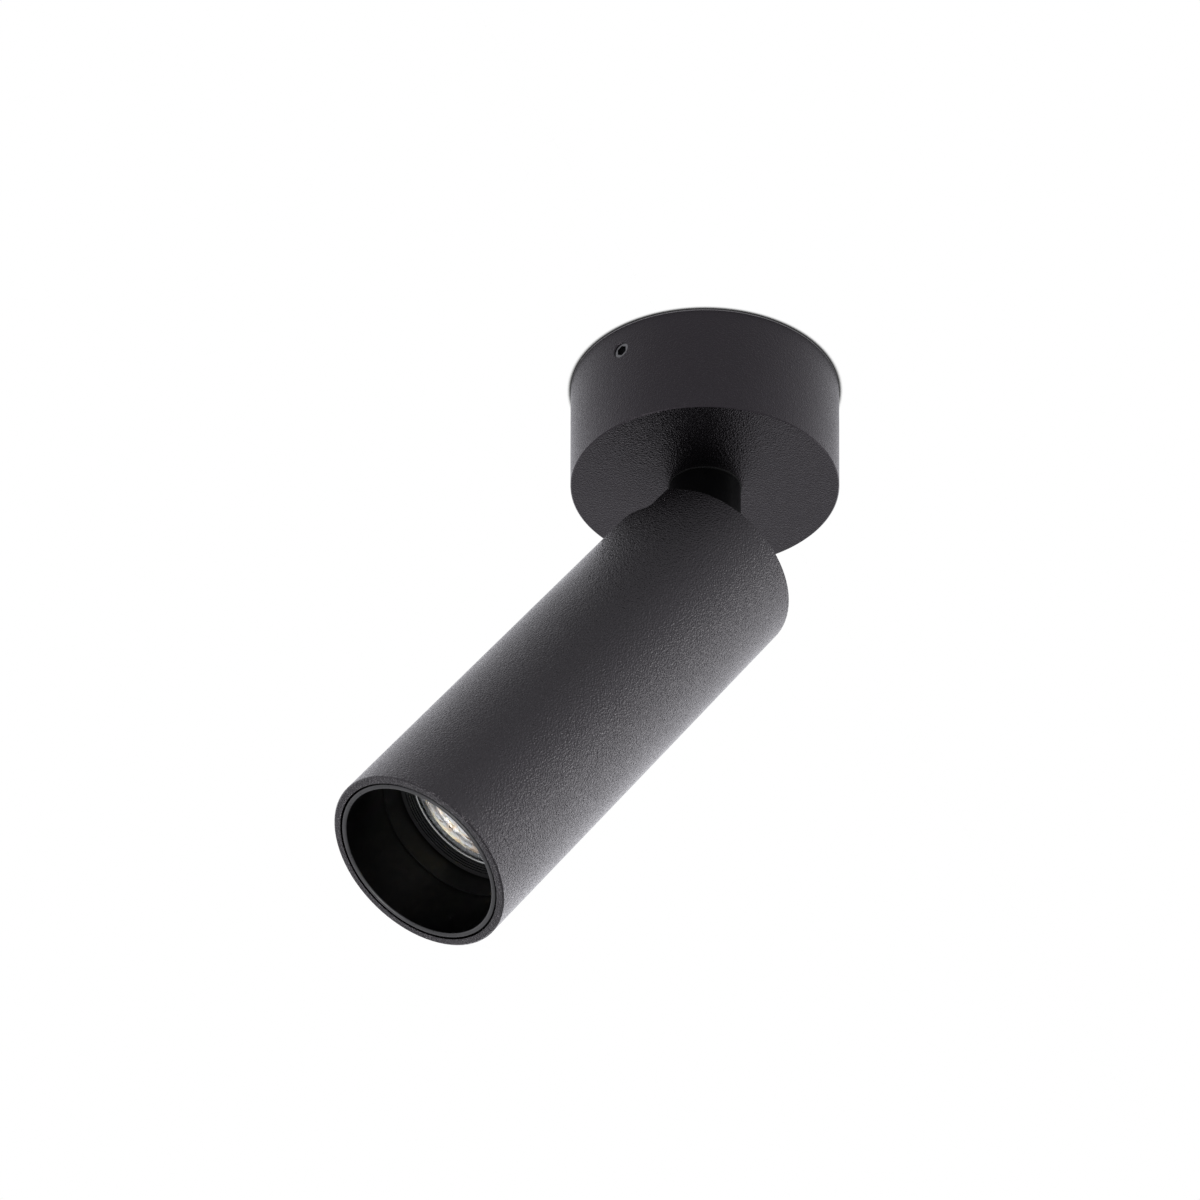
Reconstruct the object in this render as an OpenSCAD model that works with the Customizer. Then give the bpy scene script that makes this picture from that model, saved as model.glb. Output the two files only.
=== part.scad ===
// Surface mounted ceiling spotlight: a canopy on the ceiling, a hollow stem that pans,
// and a slotted tube that tilts on the stem and holds the lamp.
// Millimetres. The origin is the centre of the ceiling face, +Z is up into the ceiling,
// and the tube tilts towards -X.

/* [Canopy] */
// Diameter of the canopy's lower face
canopy_d = 80; // [78:1:100]
// How much larger the canopy's radius is at the ceiling
canopy_draft = 0.5; // [0:0.1:1.5]
// Height of the canopy
canopy_h = 36; // [36:1:48]
// Thickness of the canopy's side wall
canopy_wall = 2.5; // [2:0.1:3]
// Thickness of the canopy's floor
canopy_floor = 3; // [2.5:0.1:4]
// Chamfer of the canopy's edges
canopy_edge = 0.3; // [0.1:0.1:1]

/* [Grub screws] */
// Thread diameter of the canopy's grub screws
grub_d = 5; // [4:0.5:6]
// Length of a grub screw
grub_len = 6; // [5:0.5:7]
// Depth that a grub screw's end lies under the canopy's surface
grub_recess = 0.6; // [0.2:0.1:1.2]
// Distance of the grub screws below the ceiling
grub_drop = 8.5; // [7:0.5:12]
// Direction of the first grub screw about the vertical
grub_azimuth = 27; // [20:1:34]
// Width across the flats of a grub screw's socket
grub_socket = 3; // [2:0.5:3]
// Depth of a grub screw's socket
grub_socket_deep = 2.5; // [1.5:0.5:3]
// Chamfer round a grub screw's hole
grub_hole_edge = 0.3; // [0.1:0.1:0.5]

/* [Ceiling plate] */
// Thickness of the ceiling plate and of its lugs
plate_t = 1.5; // [1.2:0.1:2]
// Gap between the plate's edge and the canopy's wall
plate_gap = 0.7; // [0.5:0.1:1.5]
// Width of a lug
lug_w = 10; // [8:0.5:12]
// Distance between the centres of the ceiling screw slots
slot_spacing = 56; // [52:1:58]
// Length of a ceiling screw slot from end to end
slot_l = 9; // [7:0.5:11]
// Width of a ceiling screw slot
slot_w = 4.5; // [4:0.1:5]
// Diameter of the cable grommet's bore
cable_bore = 9; // [8:0.5:10]
// Wall thickness of the cable grommet
grommet_wall = 1.6; // [1:0.1:2]
// How far the grommet's flange stands out past its hole
grommet_lip = 2; // [1.5:0.1:2.5]
// Thickness of the grommet's flange
grommet_flange = 1.5; // [1:0.1:2]

/* [Wiring] */
// Inner diameter of the canopy at which slot_spacing and the widths in the wiring space are as given
wiring_d = 75; // [72:1:78]
// Length of the terminal block
block_l = 27; // [24:1:30]
// Width of the terminal block
block_w = 15; // [14:0.5:16]
// Height of the terminal block
block_h = 13; // [11:0.5:15]
// Number of poles of the terminal block
block_poles = 3; // [2:1:3]
// Diameter of a terminal screw
terminal_screw_d = 4; // [3:0.5:5]
// Distance of the terminal screws from the middle of the block
terminal_screw_off = 4; // [3.5:0.5:4.5]
// Depth of a terminal screw's seat
terminal_screw_deep = 3; // [2:0.5:4]
// Diameter of the wires from the terminal block to the driver
supply_wire_d = 2; // [1.5:0.1:2.5]
// Distance between the two supply wires
supply_wire_spacing = 24; // [22:1:26]
// Diameter of the lead from the driver to the lamp
lead_d = 4.5; // [4:0.1:4.8]
// Bend radius of the lead where it turns down to the stem
lead_bend = 5; // [4:0.5:6]

/* [Driver] */
// Length of the driver's case
driver_l = 46; // [42:1:47]
// Width of the driver's case
driver_w = 16; // [14:0.5:16.5]
// Height of the driver's case with its lid
driver_h = 19; // [17:0.5:20]
// Wall thickness of the driver's case
driver_wall = 1.2; // [1:0.1:1.5]
// Thickness of the driver's board
board_t = 1.6; // [1.2:0.1:2]
// Height of the posts that the board rests on
board_post_h = 3; // [2:0.5:4]
// Diameter of the board's posts
board_post_d = 5; // [4.6:0.1:5.4]
// Length of the transformer
transformer_l = 15; // [12:1:16]
// Width of the transformer
transformer_w = 11; // [9:0.5:11.5]
// Height of the transformer
transformer_h = 9; // [7:0.5:10]
// Diameter of a capacitor
capacitor_d = 6; // [5:0.5:7]
// Height of a capacitor
capacitor_h = 9; // [7:0.5:10]

/* [Screws in the plate] */
// Thread diameter of the countersunk screws in the plate
plate_screw_d = 3; // [2.5:0.1:3.2]
// Head diameter of the countersunk screws
plate_screw_head = 5.5; // [5:0.1:6]
// Length of the countersunk screws
plate_screw_len = 5; // [4:0.5:5.5]
// Thread diameter of the earth screw
earth_d = 4; // [3:0.5:4]
// Head diameter of the earth screw
earth_head = 7; // [6:0.5:8]
// Height of the earth screw's head
earth_head_h = 2.4; // [2:0.1:3]
// Distance of the earth screw from the middle of the plate
earth_r = 28; // [27:0.5:29]
// Direction of the earth screw about the vertical
earth_azimuth = -38; // [-42:1:-34]
// Thickness of the earth tag
earth_tag_t = 0.8; // [0.6:0.1:1]
// Length of the earth tag's tail
earth_tail = 6; // [4:0.5:7]
// Width of the earth tag's tail
earth_tail_w = 3; // [2:0.5:4]

/* [Stem] */
// Diameter of the stem
stem_d = 21.4; // [20:0.1:21.4]
// Diameter of the stem's threaded spigot
spigot_d = 10; // [9.6:0.1:11]
// Diameter of the bore through the stem
stem_bore = 6; // [5.6:0.1:6.4]
// Distance of the tilt axis below the canopy
pivot_drop = 30.8; // [30.8:0.1:36]
// Thickness of the knuckle between its two flats
knuckle_w = 15; // [14:0.5:16]
// Distance of the knuckle's shoulder from the tilt axis
shoulder_drop = 9.6; // [9.4:0.1:11]
// Thickness of the washer between canopy and stem
swivel_washer_t = 0.5; // [0.4:0.1:1]
// Diameter of the washer between canopy and stem
swivel_washer_d = 22; // [21.6:0.1:24]
// Thickness of the spring washer on the spigot
spring_washer_t = 0.8; // [0.6:0.1:1.2]
// Diameter of the washers on the spigot
spigot_washer_d = 18; // [17:0.5:19]
// Thickness of the stop washer
stop_washer_t = 1.5; // [1.2:0.1:2]
// Width of the stop washer's tab
stop_tab_w = 3; // [2:0.5:3]
// Diameter of the stop pin
stop_pin_d = 2.5; // [2:0.1:2.5]
// Distance of the stop pin from the pan axis
stop_pin_r = 12; // [11.5:0.5:13]
// Depth of the stop pin's hole in the canopy's floor
stop_pin_deep = 1.5; // [1:0.1:1.8]
// Height of the stop pin above the canopy's floor
stop_pin_h = 3; // [3:0.1:4]
// Thickness of the lock nut
nut_t = 4.5; // [4:0.5:5]
// Width across the flats of the lock nut
nut_af = 16; // [16:0.5:17]
// Thread that shows past the lock nut
spigot_past = 0.5; // [0.2:0.1:1]
// Length of the bush in the stem's top
bush_l = 6; // [4:0.5:8]
// Diameter of the bush's collar
bush_collar_d = 8.4; // [7.6:0.1:9]
// Thickness of the bush's collar
bush_collar_t = 1; // [0.6:0.1:1.2]

/* [Tilt joint] */
// Tilt of the tube from straight down in the rest pose
tilt_rest = 35; // [0:1:85]
// Diameter of a pivot screw's smooth shoulder
pivot_d = 5; // [4.6:0.1:5.4]
// Thread diameter of a pivot screw
pivot_thread_d = 4; // [3.5:0.1:4.2]
// Length of a pivot screw's thread
pivot_thread_len = 4; // [3:0.1:4]
// Head diameter of a pivot screw
pivot_head_d = 8; // [7:0.1:8.5]
// Height of a pivot screw's head
pivot_head_h = 2.5; // [2:0.1:2.8]
// Width across the flats of a pivot screw's socket
pivot_socket = 3; // [2.5:0.5:3]
// Depth of a pivot screw's socket
pivot_socket_deep = 1.6; // [1:0.1:1.8]
// Outer diameter of a friction washer
pivot_washer_d = 12; // [10:0.5:13]
// Thickness of a friction washer
pivot_washer_t = 0.5; // [0.4:0.1:0.8]
// Thickness of the yoke's ears and base
yoke_t = 2.5; // [2:0.1:2.5]
// Width of an ear
ear_w = 17; // [15:0.5:17.4]
// Diameter of the yoke's base
yoke_base_d = 41; // [40:0.5:44]
// Gap between the stem's lower end and the yoke's base
knuckle_gap = 0.8; // [0.5:0.1:1.5]
// Distance of the yoke screws from the tube's axis
yoke_screw_r = 15.5; // [15.4:0.1:16]
// Thread diameter of a yoke screw
yoke_screw_d = 4; // [3.5:0.1:4]
// Head diameter of a yoke screw
yoke_head_d = 7.6; // [7:0.1:7.8]
// Height of a yoke screw's head
yoke_head_h = 2.4; // [2:0.1:2.6]
// Length of a yoke screw's thread in the heat sink
yoke_screw_grip = 8; // [6:0.5:9]

/* [Tube] */
// Outer diameter of the tube
tube_d = 56; // [56:0.5:60]
// Length of the tube
tube_l = 152.5; // [150:0.5:170]
// Wall thickness of the tube
tube_wall = 2.2; // [2:0.1:2.6]
// Distance of the tilt axis inside the tube's rear end
pivot_inset = 1.5; // [1.2:0.1:1.6]
// Width of the rear slot
rear_slot_w = 29; // [26:0.5:32]
// Depth of the rear slot
rear_slot_deep = 10.5; // [10.2:0.1:12]
// Corner radius of the rear slot
rear_slot_r = 2; // [1:0.1:3]
// Thickness of the partition that carries the yoke
web_t = 3; // [2:0.1:4]
// Chamfer of the tube's edges
tube_edge = 0.4; // [0.2:0.1:0.6]

/* [Heat sink] */
// Diameter of the heat sink's core
core_d = 18; // [16:0.5:20]
// Diameter of the bore through the core
core_bore = 7; // [6:0.1:8]
// Number of fins
fin_count = 12; // [12:4:16]
// Thickness of a fin
fin_t = 1.2; // [1:0.1:1.5]
// Gap between the fins and the tube
fin_gap = 0.5; // [0.3:0.1:1]
// Gap between the fins and the partition
fin_end_gap = 0.5; // [0.3:0.1:1]
// Thickness of the disc that carries the lamp
sink_disc_t = 8; // [6:0.5:10]
// Diameter of a boss for a yoke screw
sink_boss_d = 8; // [7:0.1:9]
// Length of a boss
sink_boss_l = 12; // [10:0.5:14]
// Space behind the disc where the wires leave the core
wire_room = 8; // [7:0.5:10]
// Diameter of the lamp's wires
led_wire_d = 1.8; // [1.4:0.1:2]
// Distance of the lamp's wires from the axis where they pass the disc
led_wire_r = 14; // [13:0.5:15]

/* [Lamp] */
// Distance from the tube's mouth to the front of the lens
lens_depth = 27.6; // [26:0.1:30]
// Diameter of the lens
lens_d = 40.6; // [38:0.1:41]
// Thickness of the lens
lens_t = 2.5; // [2:0.1:3]
// How far the lens's flange stands out
lens_flange = 1.2; // [1:0.1:1.4]
// Thickness of the lens's flange
lens_flange_t = 1; // [0.8:0.1:1.2]
// Diameter of the reflector's mouth
reflector_d = 36.8; // [34:0.1:37]
// Diameter of the reflector's throat
reflector_throat = 15; // [14.6:0.1:16]
// Depth of the reflector
reflector_deep = 16.6; // [15:0.1:18]
// Wall thickness of the reflector
reflector_t = 0.8; // [0.6:0.1:1]
// Side of the square lamp board
led_board_w = 19; // [17:0.5:20]
// Thickness of the lamp board
led_board_t = 1.5; // [1:0.1:1.8]
// Diameter of the light-giving face
led_face_d = 12.4; // [11:0.1:13]
// Thickness of the light-giving face
led_face_t = 0.5; // [0.3:0.1:0.6]
// Diameter of the lamp holder
holder_d = 42; // [41:0.5:44]
// Thickness of the lamp holder
holder_t = 4; // [3.5:0.1:4.5]
// Distance of the holder's screws from the axis
holder_screw_r = 17; // [16.5:0.1:17.5]
// Thread diameter of the holder's screws
holder_screw_d = 3; // [2.5:0.1:3]
// Head diameter of the holder's screws
holder_head_d = 5.5; // [5:0.1:5.8]
// Height of the head of a holder screw
holder_head_h = 1.8; // [1.4:0.1:2]
// Length of a holder screw's thread in the heat sink
holder_screw_grip = 5; // [4:0.5:5.5]

/* [Front rings] */
// Wall thickness of the sleeve round the reflector
sleeve_wall = 1.3; // [1:0.1:1.5]
// Gap between the rings inside the tube and its wall
ring_gap = 0.15; // [0.1:0.05:0.2]
// Height of the grooved ring's front over the lens
lens_ring_rise = 1.9; // [1.5:0.1:2.5]
// Width of the flat face round the grooves of the lens ring
lens_ring_land = 1.4; // [0.8:0.1:1.8]
// Number of grooves in the lens ring
groove_count = 4; // [2:1:5]
// Wall thickness of the spacer behind the baffle
spacer_wall = 2.15; // [1.5:0.05:2.4]
// Length of the spacer behind the baffle
spacer_l = 7.3; // [5:0.1:10]
// Wall thickness of the front baffle
baffle_wall = 1.4; // [1.2:0.1:1.6]
// Gap between the front baffle and the tube
baffle_gap = 0.5; // [0.3:0.05:0.6]
// Rounding of the baffle's lip
lip_edge = 0.3; // [0.1:0.05:0.4]
// Diameter of the section of the baffle's ring seal
seal_d = 1; // [0.9:0.05:1.1]
// Distance of the ring seal from the tube's mouth
seal_depth = 12; // [8:0.5:14]

/* [Hidden] */
$fn = 96;

// Clearances
// Cuts run this far past what they cut
over = 1;
// Gap of a shaft that turns in its bore
run_gap = 0.05;
// Gap between faces that slide on each other
face_gap = 0.05;
// Gap of a part that is fixed in its seat
fit_gap = 0.02;
// Gap between lead ends that turn against each other
lead_end_gap = 0.3;
// Least gap of moving parts that don't touch
free_gap = 0.3;

// Places in the canopy, z from the ceiling
canopy_r = canopy_d / 2;
canopy_top_r = canopy_r + canopy_draft;
canopy_in_r = canopy_r - canopy_wall;
floor_z = -(canopy_h - canopy_floor);
face_z = -canopy_h;
plate_r = canopy_in_r - plate_gap;
plate_z = -plate_t;
grub_outer_r = canopy_r + canopy_draft * (canopy_h - grub_drop) / canopy_h - grub_recess;
lug_outer_r = grub_outer_r - grub_len - fit_gap;
slot_travel = slot_l - slot_w;
cable_hole_r = cable_bore / 2 + grommet_wall;
grommet_r = cable_hole_r + grommet_lip;

// Sizes in the wiring space, which grow and shrink with the canopy
wiring_share = 2 * canopy_in_r / wiring_d;
slot_row = slot_spacing * wiring_share;
earth_off = earth_r * wiring_share;
tail_l = (earth_head / 2 + earth_tail) * wiring_share;
tail_w = earth_tail_w * wiring_share;
terminal_l = block_l * wiring_share;
terminal_w = block_w * wiring_share;
terminal_row = terminal_screw_off * wiring_share;
wire_row = supply_wire_spacing * wiring_share;
case_l = driver_l * wiring_share;
case_w = driver_w * wiring_share;
coil_l = transformer_l * wiring_share;
coil_w = transformer_w * wiring_share;

// Places in the wiring space
block_y = -(grommet_r + free_gap + terminal_w / 2);
block_pitch = terminal_l / (block_poles + 1);
driver_y = grommet_r + free_gap + case_w / 2;
driver_lid_t = driver_wall;
board_z = plate_z - driver_wall - board_post_h;
board_w = case_w - 2 * driver_wall - 2 * free_gap;
board_l = case_l - 2 * driver_wall - 2 * free_gap;
board_post_x = case_l / 2 - driver_wall - board_post_d / 2 - free_gap;
transformer_off_share = 0.12;
capacitor_off_share = 0.22;
supply_wire_z = plate_z - block_h / 2;
lead_r = lead_d / 2;
lead_exit_z = plate_z - driver_h / 2 - board_t;

// Places on the stem
stem_r = stem_d / 2;
spigot_r = spigot_d / 2;
pivot_z = face_z - pivot_drop;
stem_top_face_z = face_z - swivel_washer_t - face_gap;
spring_z = floor_z + face_gap;
stop_z = spring_z + spring_washer_t + fit_gap;
nut_z = stop_z + stop_washer_t + fit_gap;
stem_end_z = nut_z + nut_t + spigot_past;
bush_top_z = stem_end_z + bush_collar_t;
knuckle_y = knuckle_w / 2;
ear_y = knuckle_y + pivot_washer_t + 2 * face_gap;
pivot_head_y = ear_y + yoke_t + face_gap;
stop_tab_r = stop_pin_r + stop_pin_d / 2;
tilt_max = 85;
lead_end_drop = (lead_r + lead_end_gap) / sin((180 - tilt_max) / 2);

// Places in the head, u from the tube's rear end towards its mouth
tube_r = tube_d / 2;
bore_r = tube_r - tube_wall;
base_u = pivot_inset + stem_r + knuckle_gap;
web_u = base_u + yoke_t;
sink_u = web_u + web_t;
lens_front_u = tube_l - lens_depth;
lens_back_u = lens_front_u - lens_t;
flange_u = lens_back_u - reflector_t;
throat_u = flange_u - reflector_deep;
led_u = throat_u - holder_t - fit_gap;
disc_u = led_u - sink_disc_t;
wire_u = disc_u - wire_room / 2;
lead_end_u = disc_u - wire_room;
ring_r = bore_r - ring_gap;
lens_ring_u = lens_front_u + lens_ring_rise;
spacer_u = lens_ring_u + spacer_l;
spacer_in_r = bore_r - ring_gap - spacer_wall;
baffle_r = bore_r - baffle_gap;
baffle_in_r = baffle_r - baffle_wall;
seal_u = tube_l - seal_depth;
seal_r = seal_d / 2;
seal_mid_r = bore_r - fit_gap - seal_r;
wire_split = led_wire_d / 2 + fit_gap;
wire_angle = 180 / fin_count;
lens_r = lens_d / 2;
lens_flange_r = lens_r + lens_flange;
land_r = spacer_in_r - lens_ring_land;
groove_step_r = (land_r - lens_r - run_gap) / groove_count;
groove_step_u = lens_ring_rise / groove_count;
reflector_steps = 14;

black = "#26262a";
dark = "#1c1c1e";
steel = "#b9bcc0";
zinc = "#c9c6ba";
alu = "#c4c7cb";

// Shared shapes

// A solid or hollow round bar along z, between two heights
module bar(low, high, outer, inner = 0) {
  translate([0, 0, low])
    difference() {
      cylinder(r = outer, h = high - low);
      if (inner > 0)
        translate([0, 0, -over])
          cylinder(r = inner, h = high - low + 2 * over);
    }
}

// The same along the tube's axis, between two distances from its rear end
module tube_bar(from, to, outer, inner = 0) {
  bar(pivot_inset - to, pivot_inset - from, outer, inner);
}

// A round body turned about the tube's axis, from points of radius and distance
module turned(points) {
  rotate_extrude()
    polygon([for (point = points) [point[0], pivot_inset - point[1]]]);
}

// The tilted head, with its origin on the tilt axis
module in_head() {
  translate([0, 0, pivot_z])
    rotate([0, tilt_rest, 0])
      children();
}

// Something on both sides of the middle plane, the second one turned half round
module both_sides() {
  for (turn = [0, 180])
    rotate([0, 0, turn])
      children();
}

// A round bar along +Y, between two distances from the middle
module side_bar(from, to, outer, inner = 0) {
  rotate([-90, 0, 0])
    bar(from, to, outer, inner);
}

// A box given by its middle in x and y and by its two heights
module block(mid_x, mid_y, size_x, size_y, low, high) {
  translate([mid_x - size_x / 2, mid_y - size_y / 2, low])
    cube([size_x, size_y, high - low]);
}

// A hexagon socket's cutter, from a face downwards
module hex_socket(face, flats, deep) {
  translate([0, 0, face - deep])
    cylinder(d = flats / cos(30), h = deep + over, $fn = 6);
}

// Canopy

module grub_place() {
  for (turn = [grub_azimuth, grub_azimuth + 180])
    rotate([0, 0, turn])
      translate([0, 0, -grub_drop])
        rotate([0, 90, 0])
          children();
}

module stop_pin_place() {
  translate([stop_pin_r, 0, 0])
    children();
}

module canopy() {
  color(black)
    difference() {
      rotate_extrude()
        polygon([
          [0, 0], [canopy_top_r - canopy_edge, 0], [canopy_top_r, -canopy_edge],
          [canopy_r, face_z + canopy_edge],
          [canopy_r - canopy_edge, face_z], [0, face_z]
        ]);
      bar(floor_z, over, canopy_in_r);
      bar(face_z - over, floor_z + over, spigot_r + run_gap);
      grub_place() {
        bar(canopy_in_r - over, canopy_top_r + over, grub_d / 2 + fit_gap);
        translate([0, 0, grub_outer_r + grub_recess - grub_hole_edge])
          cylinder(
            r1 = grub_d / 2 + fit_gap, r2 = grub_d / 2 + fit_gap + grub_hole_edge + canopy_draft,
            h = grub_hole_edge + canopy_draft
          );
      }
      stop_pin_place()
        bar(floor_z - stop_pin_deep, floor_z + over, stop_pin_d / 2 + fit_gap);
    }
}

module canopy_grub_screws() {
  color(dark)
    grub_place()
      difference() {
        bar(grub_outer_r - grub_len, grub_outer_r, grub_d / 2);
        hex_socket(grub_outer_r, grub_socket, grub_socket_deep);
      }
}

// Ceiling plate

module ceiling_slots() {
  for (side = [-1, 1])
    translate([side * slot_row / 2, 0, plate_z - over]) {
      translate([-slot_travel / 2, -slot_w / 2, 0])
        cube([slot_travel, slot_w, plate_t + 2 * over]);
      for (end = [-1, 1])
        translate([end * slot_travel / 2, 0, 0])
          cylinder(d = slot_w, h = plate_t + 2 * over);
    }
}

// Where the countersunk screws sit: two over the driver, two over the terminal block
module plate_screw_places() {
  for (side = [-1, 1]) {
    translate([side * board_post_x, driver_y, 0])
      children();
    translate([side * (terminal_l / 2 - plate_screw_head / 2), block_y, 0])
      children();
  }
}

module plate_screw(gap = 0) {
  bar(-plate_screw_len - gap, gap > 0 ? over : 0, plate_screw_d / 2 + gap);
  translate([0, 0, -plate_t])
    cylinder(
      r1 = plate_screw_d / 2 + gap, r2 = plate_screw_head / 2 + gap,
      h = plate_t
    );
}

module earth_place() {
  rotate([0, 0, earth_azimuth])
    translate([earth_off, 0, 0])
      children();
}

module lug() {
  translate([lug_outer_r - plate_t, -lug_w / 2, -grub_drop])
    cube([plate_t, lug_w, grub_drop + plate_z / 2]);
  translate([0, 0, -grub_drop])
    rotate([0, 90, 0])
      bar(lug_outer_r - plate_t, lug_outer_r, lug_w / 2);
}

module mounting_bracket() {
  color(zinc)
    difference() {
      union() {
        bar(plate_z, 0, plate_r);
        for (turn = [grub_azimuth, grub_azimuth + 180])
          rotate([0, 0, turn])
            lug();
      }
      bar(plate_z - over, over, cable_hole_r);
      ceiling_slots();
      plate_screw_places()
        plate_screw(fit_gap);
      earth_place()
        bar(plate_z - over, over, earth_d / 2 + fit_gap);
    }
}

module bracket_screws() {
  color(steel)
    plate_screw_places()
      plate_screw();
}

module cable_grommet() {
  color(dark)
    difference() {
      union() {
        bar(plate_z, 0, cable_hole_r - fit_gap);
        bar(plate_z - grommet_flange, plate_z, grommet_r);
      }
      bar(plate_z - grommet_flange - over, over, cable_bore / 2);
    }
}

// Wiring

module terminal_places() {
  for (pole = [1:block_poles])
    for (side = [-1, 1])
      translate([
        -terminal_l / 2 + block_pitch * pole,
        block_y + side * terminal_row, plate_z - block_h
      ])
        children();
}

module terminal_block() {
  color("#e9e6dc")
    difference() {
      block(0, block_y, terminal_l, terminal_w, plate_z - block_h, plate_z);
      terminal_places()
        bar(-over, terminal_screw_deep, terminal_screw_d / 2 + fit_gap);
      for (pole = [1:block_poles])
        translate([-terminal_l / 2 + block_pitch * pole, block_y, plate_z - block_h / 2])
          side_bar(-terminal_w / 2 - over, -terminal_w / 4, terminal_screw_d / 2);
      plate_screw_places()
        plate_screw(fit_gap);
    }
}

module terminal_screws() {
  slot_share = 0.25;
  color(zinc)
    terminal_places()
      difference() {
        bar(terminal_screw_deep * slot_share, terminal_screw_deep, terminal_screw_d / 2);
        translate([-terminal_screw_d, -terminal_screw_d * slot_share / 2, 0])
          cube([2 * terminal_screw_d, terminal_screw_d * slot_share, terminal_screw_deep / 2]);
      }
}

module earth_tag() {
  color(zinc)
    earth_place()
      difference() {
        union() {
          bar(plate_z - earth_tag_t, plate_z, earth_head / 2);
          translate([-tail_l, -tail_w / 2, plate_z - earth_tag_t])
            cube([tail_l, tail_w, earth_tag_t]);
        }
        bar(plate_z - earth_tag_t - over, plate_z + over, earth_d / 2 + fit_gap);
      }
}

module earth_screw() {
  head_z = plate_z - earth_tag_t;
  slot_share = 0.2;
  color(steel)
    earth_place()
      difference() {
        union() {
          bar(head_z, 0, earth_d / 2);
          bar(head_z - earth_head_h, head_z, earth_head / 2);
        }
        block(0, 0, 2 * earth_head, earth_head * slot_share,
              head_z - earth_head_h - over, head_z - earth_head_h / 2);
      }
}

module driver_case() {
  low = plate_z - driver_h + driver_lid_t;
  color("#ececec")
    difference() {
      union() {
        difference() {
          block(0, driver_y, case_l, case_w, low, plate_z);
          block(0, driver_y, case_l - 2 * driver_wall, case_w - 2 * driver_wall,
                low - over, plate_z - driver_wall);
        }
        for (side = [-1, 1])
          translate([side * board_post_x, driver_y, 0])
            bar(board_z, plate_z - driver_wall / 2, board_post_d / 2);
      }
      plate_screw_places()
        plate_screw(fit_gap);
      translate([0, driver_y, lead_exit_z])
        side_bar(-case_w / 2 - over, -case_w / 2 + driver_wall + over, lead_r + fit_gap);
    }
}

module driver_lid() {
  low = plate_z - driver_h;
  lip = driver_wall + fit_gap;
  color("#dcdcdc") {
    block(0, driver_y, case_l, case_w, low, low + driver_lid_t - fit_gap);
    difference() {
      block(0, driver_y, case_l - 2 * lip, case_w - 2 * lip,
            low, low + 2 * driver_lid_t);
      block(0, driver_y, case_l - 2 * lip - 2 * driver_wall,
            case_w - 2 * lip - 2 * driver_wall, low - over, low + 2 * driver_lid_t + over);
    }
  }
}

module driver_board() {
  color("#2f6b3c")
    block(0, driver_y, board_l, board_w, board_z - board_t, board_z);
}

module driver_transformer() {
  low = board_z - board_t - transformer_h;
  core_share = 0.5;
  color("#d9b13a")
    union() {
      block(-case_l * transformer_off_share, driver_y, coil_l * core_share,
            coil_w, low, board_z - board_t);
      block(-case_l * transformer_off_share, driver_y, coil_l,
            coil_w * core_share, low, board_z - board_t);
    }
}

module driver_capacitors() {
  low = board_z - board_t - capacitor_h;
  color("#3b3f52")
    for (place = [1, 2])
      translate([
        case_l * capacitor_off_share + (place - 1.5) * (capacitor_d + free_gap),
        driver_y, 0
      ])
        bar(low, board_z - board_t, capacitor_d / 2);
}

module supply_wires() {
  color("#7a4a2a")
    for (side = [-1, 1])
      translate([side * wire_row / 2, 0, supply_wire_z])
        side_bar(block_y + terminal_w / 2, driver_y - case_w / 2, supply_wire_d / 2);
}

// The lead leaves the driver's side, turns down on the pan axis and ends over the stem
module driver_lead() {
  color(dark) {
    translate([0, 0, lead_exit_z])
      side_bar(lead_bend, driver_y - case_w / 2 + driver_wall, lead_r);
    translate([0, lead_bend, lead_exit_z - lead_bend])
      rotate([90, 0, -90])
        rotate_extrude(angle = 90)
          translate([lead_bend, 0])
            circle(r = lead_r);
    bar(bush_top_z + 2 * lead_end_gap, lead_exit_z - lead_bend, lead_r);
  }
}

module stop_pin() {
  color(steel)
    stop_pin_place()
      bar(floor_z - stop_pin_deep, floor_z + stop_pin_h, stop_pin_d / 2);
}

module swivel_washer() {
  color("#0d0d0e")
    bar(face_z - swivel_washer_t, face_z, swivel_washer_d / 2, spigot_r + run_gap);
}

// Stem

// Under the tilt axis the bore opens towards -X, so that the lead can follow the tube
module lead_slot() {
  half = stem_bore / 2;
  translate([-stem_r - over, -half, pivot_z - stem_r - over])
    cube([stem_r + over, stem_bore, stem_r + over + half]);
}

module stem() {
  color(black)
    difference() {
      union() {
        bar(stem_top_face_z - over, stem_end_z, spigot_r);
        bar(pivot_z + shoulder_drop, stem_top_face_z, stem_r);
        intersection() {
          bar(pivot_z, pivot_z + shoulder_drop + over, stem_r);
          translate([-stem_d, -knuckle_y, pivot_z])
            cube([2 * stem_d, knuckle_w, shoulder_drop + over]);
        }
        intersection() {
          translate([0, 0, pivot_z])
            side_bar(-knuckle_y, knuckle_y, stem_r);
          bar(pivot_z - stem_r - over, pivot_z + over, stem_r);
        }
      }
      bar(pivot_z - stem_r - over, stem_end_z + over, stem_bore / 2);
      lead_slot();
      translate([0, 0, pivot_z])
        side_bar(-knuckle_y - over, knuckle_y + over, pivot_thread_d / 2 + fit_gap);
    }
}

module spring_washer() {
  color(steel)
    bar(spring_z, spring_z + spring_washer_t, spigot_washer_d / 2, spigot_r + fit_gap);
}

module stop_washer() {
  color(steel)
    difference() {
      union() {
        bar(stop_z, stop_z + stop_washer_t, spigot_washer_d / 2);
        translate([-stop_tab_r, -stop_tab_w / 2, stop_z])
          cube([stop_tab_r, stop_tab_w, stop_washer_t]);
      }
      bar(stop_z - over, stop_z + stop_washer_t + over, spigot_r + fit_gap);
    }
}

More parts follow.
